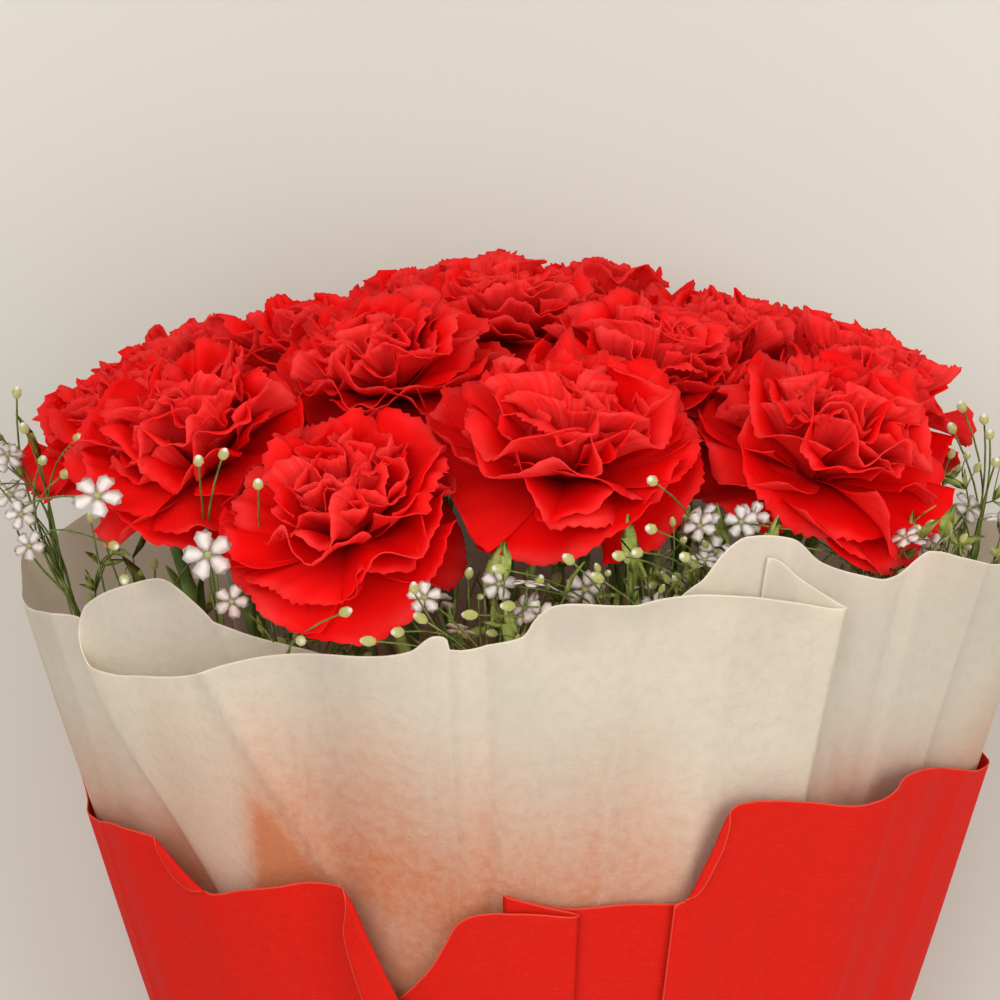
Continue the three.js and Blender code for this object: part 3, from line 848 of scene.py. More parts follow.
# %% [markdown]
# The white sheets stand higher. The front one is the most folded: on the left it turns back inwards and
# makes a deep scoop, in the middle its rim dips and has a small corner, and on the right it is folded
# over itself with a corner that sticks out. The right and left ones come up from behind it.

# %% Red light seen through the white cloth, painted as colour, with painted shade in a fold
RED_FROM, RED_TO = 352, 432  # mm over the tie, between which the red fades out
SIDES_LOWER = 22  # mm by which it fades out lower at both sides
FOLD_TOP, FOLD_PLACE = 392, -36.2  # of the slanting fold in front: mm over the tie and degrees
# Past one: painted shade in the slanting fold.
FOLD_SHADE = 1.3
SECOND_LAYER_TOP = 445  # mm over the tie


def from_front(points):
    """The angle of each point, from the front round to the right."""
    return np.arctan2(points[..., 0], -points[..., 1])


def shows_red(grid):
    """How much painted red light from the red cloth behind shows through: more low down and in the middle."""
    angle = from_front(grid)
    wander = 4 * np.sin(5 * angle + 1) + 3 * np.sin(11 * angle + 2.5) + 2 * np.sin(23 * angle)
    sides = SIDES_LOWER * eased(angle, 0.2, 0.5) + SIDES_LOWER * eased(-angle, 0.75, 1.0)
    return 1 - eased(grid[..., 2] + wander + sides, RED_FROM, RED_TO)


def front_red_light_and_shade(grid):
    """In front a fold slants down from the left: painted shade in the fold, and paler, with less painted red
    light, to the left of it.
    """
    place = np.degrees(from_front(grid))
    below = FOLD_TOP - grid[..., 2]
    left, right = FOLD_PLACE - 0.04 * below, FOLD_PLACE + 0.21 * (below - 10)
    between = eased(place, left - 1.6, left + 1.8) * (1 - eased(place, right - 1.4, right + 1))
    folded = between * eased(below, 4, 26)
    # Less painted red light to the right of two creases.
    steps = 1 - 0.12 * eased(place, -4.7, -4.2) - 0.14 * eased(place, 9.0, 9.6)
    shown = shows_red(grid) * steps * (0.55 + 0.45 * eased(place, left - 3, left + 2))
    return shown * (1 - folded) + FOLD_SHADE * folded


def front_plies(along, level):
    """The second layer behind ends a little lower than the rim, in a sloping line of its own."""
    second = SECOND_LAYER_TOP + 2 * np.sin(along / 31 + 2.2) + 1.2 * np.sin(along / 13)
    return 0.25 + 0.75 * (1 - eased(level, second, second + 1.5)) * (1 - 0.2 * eased(level, 380, 430))


# %% White sheets
WHITE_HUG = 9.0
WHITE_BACK = [
    (118, 436, 12), (140, 438, 12), (160, 440, 12), (184, 442, 12), (205, 439, 12), (226, 436, 12),
]
WHITE_LEFT = [
    (-154, 436, 10), (-136, 434, 10), (-122, 432, 10), (-110, 431, 8), (-100, 428, 6), (-90, 423, 4.5),
    (-82, 419.5, 4), (-77, 419, 5), (-74.6, 419.5, 7), (-71, 421.5, 9), (-67, 423.5, 11), (-63.5, 424.5, 14),
    (-60.5, 422, 17), (-57, 411, 19.5), (-50, 397, 20),
]
WHITE_FRONT = [
    (-26, 426, 27), (-30.6, 428.5, 27), (-38.2, 433, 27), (-41.6, 438, 27), (-47.2, 444.5, 26),
    (-53, 440, 22), (-57.5, 434, 18), (-59.8, 429, 15), (-60.9, 421, 12.2), (-60.4, 415.5, 10.8),
    (-57.5, 411, 10), (-53, 411.5, 10), (-48.3, 413.8, 10), (-38.8, 419.5, 10), (-34, 425, 10),
    (-29.4, 428.9, 10), (-22, 432.2, 10), (-15, 434.2, 10), (-12, 436.5, 10), (-9.1, 442.2, 10),
    (-8.4, 442.0, 10.2), (-8.0, 438.0, 10.4), (-6.5, 438.2, 10), (-2.7, 440.6, 10), (-0.6, 442.6, 10),
    (1.0, 449.5, 10), (2.4, 452.6, 10), (3.9, 453.2, 10), (9.7, 451.8, 10), (13.7, 453.8, 10),
    (16.5, 454.6, 10), (19.1, 453.9, 10), (28.4, 447.6, 10), (34.2, 443.5, 10),
    (34.9, 443.4, 10.8), (34.2, 444.6, 12), (28.5, 455.2, 13), (24.9, 462.8, 13.6), (24.3, 463.2, 13.8),
]
WHITE_RIGHT = [
    (12, 441, 16), (16.5, 455.5, 15.5), (17.5, 458, 15), (19, 464.8, 15), (20.3, 468.8, 15),
    (21.7, 470.6, 15), (23.3, 470.4, 15), (26.9, 468.3, 15.5), (32.2, 458, 17), (38.7, 450.9, 18),
    (42, 448.6, 18.5), (44.9, 449.8, 18), (46.2, 453, 16), (47.2, 455.6, 13.5), (49, 454.6, 12),
    (53.5, 450.4, 10.5), (64, 442, 9.5), (75, 438, 9), (88, 436, 9), (104, 433, 9), (120, 434, 10),
    (138, 436, 10),
]
cloth_sheet("white", "back", WHITE_BACK, 3, WHITE_HUG, spacing=4.0, blush=shows_red)
cloth_sheet("white", "front", WHITE_FRONT, 3, WHITE_HUG, spacing=1.5, blush=front_red_light_and_shade,
            plies=front_plies, creases=[(-4.3, 0.5, -1.8, 0.9, 300), (-7.0, 0.5, 1.4, 1.4, 300),
                                        (9.6, 2.0, 1.4, 0.7, 280), (-33.4, -17, 2.2, 1.2, 290),
                                        (20, 2, 1.2, 2.0, 280)])
cloth_sheet("white", "left", WHITE_LEFT, 4, WHITE_HUG, spacing=2.0, blush=shows_red,
            creases=[(-66, -4, 1.6, 1.6, 280), (-95, 0, 2, 2.5, 260)])
cloth_sheet("white", "right", WHITE_RIGHT, 4, WHITE_HUG, spacing=1.8, blush=shows_red,
            creases=[(29, -3, 1.5, 1.6, 300), (58, 3, 2.2, 2.2, 260), (40, -8, -3.0, 2.6, 290)])

# %% [markdown]
# Stems, calyces and leaves of a carnation are a dull blue-green under a thin wax bloom, lighter at the
# swollen joints. One finish serves them all: noise in Object coordinates lays the cloudy bloom, and an
# attribute called `young` turns the fresh parts yellow-green.

# %% Green finish
def green_finish(name, old, bloom, young):
    material, tree = new_material(name)
    place = tree.object_place()
    young_or_lit_share = tree.attribute("young")
    cloud = tree.noise(place, 160.0, 3.0)
    grain = tree.noise(tree.stretched(place, (900, 120, 900)), 1.0, 2.0)
    colour = tree.mix(cloud.ramp(0.35, 0.7), old, bloom)
    colour = tree.mix(young_or_lit_share * cloud.ramp(0.1, 0.6, 0.75, 1.0), colour, young)
    finish_surface(tree, colour, cloud.ramp(0.2, 0.8, 0.45, 0.7), grain, 0.25, 0.3, young, 0.12)
    return material


STEM_GREEN = green_finish("stem_green", (0.11, 0.19, 0.04, 1), (0.20, 0.28, 0.10, 1), (0.33, 0.44, 0.08, 1))
print("material:", STEM_GREEN.name)

# %% [markdown]
# A stem is a tube along a line, thicker at its joints. Geometry Nodes do that in one go for any line:
# the tree below turns a string of edges into a curve, sets a radius for each point of it, and sweeps a
# circle along it. The swellings are counted from the top, so they sit where the leaves leave the stem.

# %% A Geometry Nodes tree for stems
def group_tree(name, inputs):
    """A geometry tree with named inputs; returns it with its input fields and its output node."""
    tree = bpy.data.node_groups.new(name, "GeometryNodeTree")
    tree.interface.new_socket("Geometry", in_out="INPUT", socket_type="NodeSocketGeometry")
    for label, kind in inputs:
        tree.interface.new_socket(label, in_out="INPUT", socket_type=kind)
    tree.interface.new_socket("Geometry", in_out="OUTPUT", socket_type="NodeSocketGeometry")
    entry = tree.nodes.new("NodeGroupInput")
    fields = {label: Field(entry.outputs[label]) for label, kind in [("Geometry", None), *inputs]}
    return Tree(tree), fields, tree.nodes.new("NodeGroupOutput")


def swept(tree, curve, sides, radius, finish):
    """A smooth tube along a curve, with closed ends."""
    circle = tree.add("GeometryNodeCurvePrimitiveCircle", {"mode": "RADIUS"}, {
        "Resolution": sides, "Radius": 1.0})
    tube = tree.add("GeometryNodeCurveToMesh", {}, {
        "Curve": curve, "Profile Curve": circle, "Fill Caps": True, "Scale": radius})
    tube = tree.add("GeometryNodeSetShadeSmooth", {}, {"Geometry": tube})
    return tree.add("GeometryNodeSetMaterial", {}, {"Geometry": tube, "Material": finish})


def evenly_stepped(tree, geometry, step):
    """The curve through a string of edges, with a point at each step of its length."""
    curve = tree.add("GeometryNodeMeshToCurve", {}, {"Mesh": geometry})
    return tree.add("GeometryNodeResampleCurve", {"mode": "LENGTH"}, {"Curve": curve, "Length": step})


def finished_geometry(tree, geometry, output):
    plug(output.inputs[0], tree.add("GeometryNodeRealizeInstances", {}, {"Geometry": geometry}))
    return tree.tree


# %% The tree for stems
STEM_STEP = 0.0025
STEM_SIDES = 10
JOINT_SPREAD = 0.003  # m along the stem over which a joint swells


def stem_nodes():
    tree, given, output = group_tree("stem along a line", [
        ("Radius", "NodeSocketFloat"), ("Joint Gap", "NodeSocketFloat"), ("First Joint", "NodeSocketFloat"),
        ("Swelling", "NodeSocketFloat"), ("Finish", "NodeSocketMaterial")])
    curve = evenly_stepped(tree, given["Geometry"], STEM_STEP)
    along = tree.add("GeometryNodeSplineParameter", out="Length")
    past = (along - given["First Joint"]) / given["Joint Gap"]
    near = (past - past.math("ROUND")) * given["Joint Gap"]
    bulge = ((near / JOINT_SPREAD) ** 2.0 * -1.0).math("EXPONENT")
    radius = given["Radius"] * (bulge * given["Swelling"] + 1.0)
    curve = tree.add("GeometryNodeStoreNamedAttribute", {"data_type": "FLOAT", "domain": "POINT"},
                     {"Geometry": curve, "Name": "young", "Value": bulge * 0.7})
    return finished_geometry(tree, swept(tree, curve, STEM_SIDES, radius, given["Finish"]), output)


def grown(tree, name, points, edges, settings, values=None):
    """Runs a geometry tree on points and edges in the bunch's frame, and gives back a plain mesh."""
    mesh = bpy.data.meshes.new(name)
    mesh.from_pydata(laid(points).tolist(), [tuple(map(int, edge)) for edge in edges], [])
    for key, numbers in (values or {}).items():
        numbers = np.asarray(numbers, np.float32)
        kind, field = ("FLOAT_VECTOR", "vector") if numbers.ndim == 2 else ("FLOAT", "value")
        mesh.attributes.new(key, kind, "POINT").data.foreach_set(field, numbers.ravel())
    draft = in_scene(name, mesh)
    modifier = draft.modifiers.new(name, "NODES")
    modifier.node_group = tree
    for item in tree.interface.items_tree:
        if item.item_type == "SOCKET" and item.in_out == "INPUT" and item.name in settings:
            modifier[item.identifier] = settings[item.name]
    shape = bpy.data.meshes.new_from_object(draft.evaluated_get(bpy.context.evaluated_depsgraph_get()))
    draft.modifiers.remove(modifier)
    bpy.data.objects.remove(draft)
    return shape


STEM_TREE = stem_nodes()
print("nodes in the stem tree:", len(STEM_TREE.nodes))

# %% [markdown]
# The calyx is a green cup with five teeth that holds the petals, and small scales press on its foot.
# It is a lathe shape with a wavy rim. The leaves are long narrow blades with a keel, in pairs at a joint.

# %% Calyx and leaves
CALYX_LENGTH = 26
CALYX_PROFILE = [
    (0.0, 0.0), (2.2, 0.0), (3.6, 1.2), (4.6, 5), (5.3, 11), (5.7, 18), (6.0, 24), (6.2, CALYX_LENGTH),
]
CALYX_SIDES = 30
CALYX_TEETH = 5
TOOTH_RISE = 5.5
INNER_RADIUS, INNER_FLOOR = 5.6, 23
BLADE_POINTS = 5  # across a blade


def blade(base, way, side, length, half, bend, rows, thick=0.3, keel=0.5):
    """Grid of a leaf that leaves its base along way and bends to one side."""
    across = np.cross(side, way)
    t = np.linspace(0, 1, rows)[:, None, None]
    u = np.linspace(-1, 1, BLADE_POINTS)[None, :, None]
    width = half * np.sqrt(1.001 - t**1.6) * (0.7 + 0.6 * t - 0.3 * t * t)
    spine = base + way * length * (t - 0.12 * t**3) + side * bend * t**2
    sides_up = side * keel * np.abs(u) * width * (0.6 - 0.3 * t)
    return thickened(spine + across * u * width + sides_up, thick / 2)


def calyx_grid():
    """Rows up the outside, over the teeth, and down the inside to a floor."""
    turn = np.arange(CALYX_SIDES + 1) / CALYX_SIDES * 2 * math.pi
    teeth = np.abs(((turn * CALYX_TEETH / (2 * math.pi)) % 1) * 2 - 1)
    rows = [(r, z) for r, z in CALYX_PROFILE]
    for radius, share in ((6.3, 0.5), (6.3, 1.0), (6.0, 0.9), (6.0, 0.4)):
        rows.append((radius + 0.25 * share * teeth, CALYX_LENGTH + TOOTH_RISE * share * teeth))
    rows += [(INNER_RADIUS, INNER_FLOOR), (0, INNER_FLOOR)]
    return np.stack([np.stack([r * np.cos(turn), r * np.sin(turn), z + 0 * turn], -1) for r, z in rows])


def grid_faces(rows, columns):
    at = np.arange(rows * columns).reshape(rows, columns)
    return np.stack([at[:-1, :-1], at[:-1, 1:], at[1:, 1:], at[1:, :-1]], -1).reshape(-1, 4)


class Pieces:
    """Points and faces of several shapes, gathered to be one mesh."""

    def __init__(self):
        self.points, self.faces, self.young, self.count = [], [], [], 0

    def take(self, points, faces, young=0.0):
        self.points.append(points.reshape(-1, 3))
        self.faces.append(faces + self.count)
        self.young.append(np.broadcast_to(young, (len(self.points[-1]),)))
        self.count += len(self.points[-1])

    def mesh(self, name, material, uv=None, values=None):
        return mesh_from(name, np.concatenate(self.points), np.concatenate(self.faces), material, uv, values)


def welded(name, shapes):
    """One mesh out of several, with doubles merged and bare faces dropped."""
    bm = bmesh.new()
    for shape in shapes:
        bm.from_mesh(shape)
        bpy.data.meshes.remove(shape)
    bmesh.ops.remove_doubles(bm, verts=bm.verts, dist=1e-6)
    bmesh.ops.dissolve_degenerate(bm, edges=bm.edges, dist=1e-7)
    mesh = bpy.data.meshes.new(name)
    bm.to_mesh(mesh)
    bm.free()
    return mesh


# %% Room inside the wrapping
LEAF_ROOM = 22.0  # mm from the outermost skin of the wrapping to the leaves
CORNER_ROOM, CORNER_AT, CORNER_WIDE = 19, -42, 17  # mm more at the turned corner, and degrees
PLANT_LAYER = 4


def room_inset(angle):
    """How far inside the outermost skin the plants must stay; the turned corner in front takes more."""
    return LEAF_ROOM + CORNER_ROOM * np.exp(-(((np.degrees(angle) - CORNER_AT) / CORNER_WIDE) ** 2))


def within_wrapping(points):
    """Presses points inwards where they would come through the wrapping."""
    angle = np.arctan2(points[:, 0], -points[:, 1] / DEEP)
    skin = funnel(angle, points[:, 2], room_inset(angle), PLANT_LAYER)
    reach, most = (np.hypot(place[:, 0], place[:, 1]) for place in (points, skin))
    share = np.minimum(1, most / np.maximum(reach, 1e-6))
    return points * np.stack([share, share, np.ones_like(share)], -1)


# %% The parts of a stem
STEM_BEND = 26  # mm below the calyx over which the stem turns into the head's direction
CUT_CORNERS = 6  # of a CAD stem at its cut end
SCALE_LENGTH, SCALE_HALF, SCALE_BEND, SCALE_THICK, SCALE_KEEL = 8.5, 2.4, 1.6, 0.5, -0.25
SCALE_ROWS, LEAF_ROWS = 7, 13
LEAF_JOINTS = ((38, 30, 2.6, 9), (95, 56, 2.7, 11))  # mm below the calyx; length, half width and bend


def stem_line(head):
    """The stem's middle line from its cut end to the calyx, with its direction and the calyx's foot."""
    cut = head["stem"][np.argsort(head["stem"][:, 2])[:CUT_CORNERS]].mean(0)
    neck = head["mouth"] - head["axis"] * CALYX_LENGTH
    straight = np.linalg.norm(neck - cut)
    way = (neck - cut) / straight
    s = np.linspace(0, 1, 60)[:, None]
    turn = np.clip((s * straight - straight + STEM_BEND) / STEM_BEND, 0, 1)
    bent = (head["axis"] - way) * STEM_BEND * 0.44 * (turn**2 - turn**3)
    return cut + way * straight * s + bent, way, neck


def outwards(frame, spin):
    return np.cos(spin) * frame[0] + np.sin(spin) * frame[1]


def take_calyx(parts, head, neck):
    """The cup, and two pairs of scales on its foot, the second pair a little lower."""
    turn = upright_frame(head["axis"])
    cup = calyx_grid()
    parts.take(cup @ turn + neck, grid_faces(*cup.shape[:2]), 0.25)
    for k in range(4):
        side = outwards(turn, k * math.pi / 2 + 0.4)
        low = k % 2
        foot = neck + side * (3.0 + 0.5 * low) - head["axis"] * low * 1.5
        scale = blade(foot, head["axis"], side, SCALE_LENGTH, SCALE_HALF, SCALE_BEND, SCALE_ROWS,
                      SCALE_THICK, SCALE_KEEL)
        parts.take(scale, thick_faces(SCALE_ROWS, BLADE_POINTS), 0.1)


def take_leaves(parts, rng, neck, way):
    """A pair of leaves on opposite sides at each of the upper joints."""
    frame_here = upright_frame(way)
    for below, long, half, bend in LEAF_JOINTS:
        joint = neck - way * below
        spin = rng.uniform(0, math.pi)
        for sign in (1, -1):
            side = sign * outwards(frame_here, spin)
            leaf = blade(joint + side * 1.6, way, side, long * rng.uniform(0.85, 1.0), half, bend, LEAF_ROWS)
            parts.take(within_wrapping(leaf), thick_faces(LEAF_ROWS, BLADE_POINTS), rng.uniform(0.0, 0.5))


# %% Stems
STEM_RADIUS = 2.2
JOINT_GAP = 72
JOINT_SWELLING = 0.45


def in_a_row(number):
    """Edges that join points in their order."""
    return [(i, i + 1) for i in range(number - 1)]


def stem_piece(head, seed):
    name = f"stem_{head['name']}"
    line, way, neck = stem_line(head)
    length = np.linalg.norm(line[-1] - line[0]) * MM
    first = (length - (LEAF_JOINTS[1][0] * MM)) % (JOINT_GAP * MM)
    tube = grown(STEM_TREE, name, line, in_a_row(len(line)), {
        "Radius": STEM_RADIUS * MM, "Joint Gap": JOINT_GAP * MM, "First Joint": first,
        "Swelling": JOINT_SWELLING, "Finish": STEM_GREEN})
    parts = Pieces()
    take_calyx(parts, head, neck)
    take_leaves(parts, np.random.default_rng(seed), neck, way)
    draft = parts.mesh("draft", STEM_GREEN, values={"young": np.concatenate(parts.young)})
    shape = draft.data
    bpy.data.objects.remove(draft)
    piece = in_scene(name, welded(name, [tube, shape]))
    piece.data.materials.clear()
    piece.data.materials.append(STEM_GREEN)
    return standing_for(piece, "stems", f"carnation_{head['name']}_stem")


stem_pieces = [stem_piece(head, seed) for seed, head in enumerate(HEADS, 101)]
print("stems:", len(stem_pieces), "faces each about", len(stem_pieces[0].data.polygons))

# %% [markdown]
# Baby's breath is a cloud of tiny flowers on hair-thin stalks that fork again and again. Each flower has
# five notched white petals round a yellow-green heart, and each bud is a green egg with a white tip.
# The forking is worked out in Python as a skeleton of points and edges. Geometry Nodes then sweep the
# stalks and put a small flower, bud or leaf on each end, turned the way that the stalk points.

# %% Finish of the small flowers
# Painted shade: small flowers deeper in the bunch than this are brownish pink.
SHADE_FADES_OUT = (0.432, 0.456)  # m from the tie along the bunch; those deeper in are brownish in the shade


def bloom_finish():
    material, tree = new_material("small_bloom")
    place = tree.object_place()
    heart = tree.attribute("heart")
    grain = tree.noise(place, 900.0, 2.0)
    cloud = tree.noise(place, 60.0, 2.0)
    stand_up = math.pi / 2 - LIE_TILT
    tie_stood = Matrix.Rotation(stand_up, 3, "X") @ TIE
    standing = tree.add("ShaderNodeMapping", {}, {
        "Vector": place, "Location": -tie_stood, "Rotation": (stand_up, 0, 0)})
    young_or_lit_share = tree.add("ShaderNodeSeparateXYZ", {}, {0: standing}, out="Z").ramp(*SHADE_FADES_OUT)
    white = tree.mix(cloud.ramp(0.3, 0.7), (0.93, 0.92, 0.89, 1), (0.90, 0.85, 0.82, 1))
    # Painted shade: flowers low in the bunch turn brownish pink.
    white = tree.mix(young_or_lit_share, (0.62, 0.40, 0.31, 1), white)
    green = tree.mix(grain.ramp(0.3, 0.7), (0.50, 0.53, 0.06, 1), (0.30, 0.38, 0.04, 1))
    colour = tree.mix(heart.ramp(0.3, 0.7), white, green)
    finish_surface(tree, colour, grain.ramp(0.2, 0.8, 0.5, 0.7), grain, 0.15, 0.25, (0.95, 0.93, 0.9, 1), 0.5)
    return material


SMALL_BLOOM = bloom_finish()
STALK_GREEN = green_finish("stalk_green", (0.09, 0.13, 0.02, 1), (0.20, 0.26, 0.06, 1), (0.46, 0.52, 0.12, 1))
print("materials:", SMALL_BLOOM.name, STALK_GREEN.name)

# %% Flower, bud and leaf
BLOOM_PETALS = 5
# From claw to edge: how far out the sides, half width, how far out the middle (the edge is notched), height.
BLOOM_PETAL = ((0.8, 0.6, 0.8, 0.3), (3.2, 2.1, 3.2, 0.9), (6.0, 2.9, 6.2, 0.7), (8.0, 1.4, 7.5, 0.2))
BLOOM_HEART = ((0, -1.6), (0.9, -0.6), (1.25, 0.4), (0.7, 1.3), (0, 1.5))
BUD_LENGTH = 5.5
BUD_PROFILE = ((0, 0), (1.0, 0.5), (1.75, 2.0), (1.6, 3.6), (0.8, 5.0), (0, BUD_LENGTH))
LEAFLET_ROWS = ((0, 0.3, 0), (3, 1.5, 0.8), (7, 1.5, 1.2), (12, 0.15, 0.6))  # height, half width and lean


def lens(top_points, thick):
    """A thin closed blade from rows of left, middle and right points, thickest along its middle."""
    rows = len(top_points)
    low = top_points[1:-1, 1] - np.array([0, 0, thick])
    points = np.concatenate([top_points.reshape(-1, 3), low])
    top = np.arange(rows * 3).reshape(rows, 3)
    under = top.copy()
    under[1:-1, 1] = rows * 3 + np.arange(rows - 2)
    faces = [(a[i, j], a[i, j + 1], a[i + 1, j + 1], a[i + 1, j])[::step]
             for a, step in ((top, 1), (under, -1)) for i in range(rows - 1) for j in range(2)]
    return points, np.array(faces)


def small_petal(turn):
    flat = np.array([[(x, -half, z), (middle, 0, z), (x, half, z)] for x, half, middle, z in BLOOM_PETAL])
    points, faces = lens(flat, 0.25)
    return points @ spun(turn), faces


def template(name, shapes, values, material):
    """A small mesh that Geometry Nodes copy; metres, upright, at the origin."""
    points = np.concatenate([points for points, _ in shapes])
    offsets = np.cumsum([0] + [len(points) for points, _ in shapes[:-1]])
    faces = np.concatenate([faces + start for (_, faces), start in zip(shapes, offsets)])
    mesh = bpy.data.meshes.new(name)
    mesh.from_pydata((points * MM).tolist(), [], faces.tolist())
    mesh.polygons.foreach_set("use_smooth", np.ones(len(faces), bool))
    mesh.materials.append(material)
    for key, numbers in values.items():
        mesh.attributes.new(key, "FLOAT", "POINT").data.foreach_set("value", np.float32(numbers))
    bm = bmesh.new()
    bm.from_mesh(mesh)
    bmesh.ops.remove_doubles(bm, verts=bm.verts, dist=1e-6)
    bmesh.ops.recalc_face_normals(bm, faces=bm.faces)
    bm.to_mesh(mesh)
    bm.free()
    return bpy.data.objects.new(name, mesh)


def round_shape(profile, sides):
    """A closed lathe shape; rows of radius and height."""
    turn = np.arange(sides + 1) / sides * 2 * math.pi
    grid = np.array([[(r * math.cos(a), r * math.sin(a), z) for a in turn] for r, z in profile])
    return grid.reshape(-1, 3), grid_faces(len(profile), sides + 1)


bloom_parts = [small_petal(k * 2 * math.pi / BLOOM_PETALS) for k in range(BLOOM_PETALS)]
bloom_parts.append(round_shape(BLOOM_HEART, 6))
hearts = [np.full(len(points), float(k == BLOOM_PETALS)) for k, (points, _) in enumerate(bloom_parts)]
BLOOM = template("bloom", bloom_parts, {"heart": np.concatenate(hearts)}, SMALL_BLOOM)
bud = round_shape(BUD_PROFILE, 7)
BUD = template("bud", [bud], {"heart": 1.15 - 0.95 * (bud[0][:, 2] / BUD_LENGTH) ** 3.2}, SMALL_BLOOM)
leaflet = lens(np.array([[(lean, -half, z), (lean - 0.3, 0, z), (lean, half, z)]
                         for z, half, lean in LEAFLET_ROWS]), 0.2)
LEAFLET = template("leaflet", [leaflet], {"young": np.full(len(leaflet[0]), 0.5)}, STALK_GREEN)
print("faces of a bloom, a bud and a leaf:", *(len(piece.data.polygons) for piece in (BLOOM, BUD, LEAFLET)))

# %% A Geometry Nodes tree for a spray
FLOWER, BUDDING, LEAFY = 1, 2, 3  # kinds of a stalk's end
STALK_SIDES = 4


def named(tree, name, kind="FLOAT"):
    return tree.add("GeometryNodeInputNamedAttribute", {"data_type": kind}, {"Name": name})


def ends_of_kind(tree, given, number, what, finish, spin):
    """A shape on each point of one kind, turned the way that its stalk points."""
    chosen = tree.add("FunctionNodeCompare", {"data_type": "FLOAT", "operation": "EQUAL"}, {
        0: named(tree, "kind"), 1: float(number), "Epsilon": 0.25})
    points = tree.add("GeometryNodeMeshToPoints", {}, {"Mesh": given["Geometry"], "Selection": chosen})
    shape = tree.add("GeometryNodeObjectInfo", {}, {"Object": given[what]}, out="Geometry")
    aim = named(tree, "aim", "FLOAT_VECTOR")
    turn = tree.add("FunctionNodeAlignRotationToVector", {"axis": "Z"}, {"Vector": aim})
    own_turn = tree.add("FunctionNodeAxisAngleToRotation", {}, {"Axis": (0, 0, 1), "Angle": spin})
    turn = tree.add("FunctionNodeRotateRotation", {"rotation_space": "LOCAL"}, {
        "Rotation": turn, "Rotate By": own_turn})
    size = named(tree, "size") * given[f"{what} Size"]
    copies = tree.add("GeometryNodeInstanceOnPoints", {}, {
        "Points": points, "Instance": shape, "Rotation": turn, "Scale": size})
    real = tree.add("GeometryNodeRealizeInstances", {}, {"Geometry": copies})
    return tree.add("GeometryNodeSetMaterial", {}, {"Geometry": real, "Material": given[finish]})


def spray_nodes():
    tree, given, output = group_tree("spray on a skeleton", [
        ("Thickness", "NodeSocketFloat"), ("Bloom Size", "NodeSocketFloat"), ("Bud Size", "NodeSocketFloat"),
        ("Leaf Size", "NodeSocketFloat"), ("Bloom", "NodeSocketObject"), ("Bud", "NodeSocketObject"),
        ("Leaf", "NodeSocketObject"), ("Stalk Finish", "NodeSocketMaterial"),
        ("Bloom Finish", "NodeSocketMaterial"), ("Seed", "NodeSocketInt")])
    curve = tree.add("GeometryNodeMeshToCurve", {}, {"Mesh": given["Geometry"]})
    radius = named(tree, "thick") * given["Thickness"]
    join = tree.tree.nodes.new("GeometryNodeJoinGeometry")
    plug(join.inputs[0], swept(tree, curve, STALK_SIDES, radius, given["Stalk Finish"]))
    # Sockets 2 and 3 are the least and greatest value of a random number; output 1 is that number.
    spin = tree.add("FunctionNodeRandomValue", {"data_type": "FLOAT"}, {
        3: math.tau, "Seed": given["Seed"]}, out=1)
    for number, what, finish in ((FLOWER, "Bloom", "Bloom Finish"), (BUDDING, "Bud", "Bloom Finish"),
                                 (LEAFY, "Leaf", "Stalk Finish")):
        plug(join.inputs[0], ends_of_kind(tree, given, number, what, finish, spin))
    return finished_geometry(tree, Field(join.outputs[0]), output)


SPRAY_TREE = spray_nodes()
print("nodes in the spray tree:", len(SPRAY_TREE.nodes))

# %% [markdown]
# The skeleton of a spray: a main stalk runs from the cut end up to its first fork. From there branches
# bend outwards and fork twice more. An end that would come inside a flower head or through the
# wrapping is drawn back towards its fork. Some ends are listed one by one, where the photograph shows a
# flower or bud in front of the red petals.

# %% The sprays and their chosen ends
# Single stalks that fill the dark under the heads, and are few at the sides and the back.
FILLERS = {
    "front": 104, "front_middle": 104, "front_left": 96, "gap": 56, "right_front": 56, "left_front": 14,
}
FEW_FILLERS = 5
# The fork's place, how high and wide the spray is above it, and its number of branches.
SPRAYS = {
    "left": ((-156, -34, 430), 50, 15, 5), "left_front": ((-126, -66, 424), 34, 17, 6),
    "front_left": ((-74, -113, 410), 40, 24, 13), "between": ((-94, -104, 424), 46, 12, 7),
    "front": ((-12, -130, 412), 40, 27, 15), "front_middle": ((34, -123, 416), 38, 22, 14),
    "gap": ((57, -108, 424), 40, 14, 9), "right_front": ((108, -78, 418), 40, 20, 11),
    "right": ((148, -30, 428), 52, 16, 5), "back": ((92, 108, 430), 44, 14, 8),
}
OUTERMOST = ("left", "left_front")  # their high flowers are the nearest, and have their full size
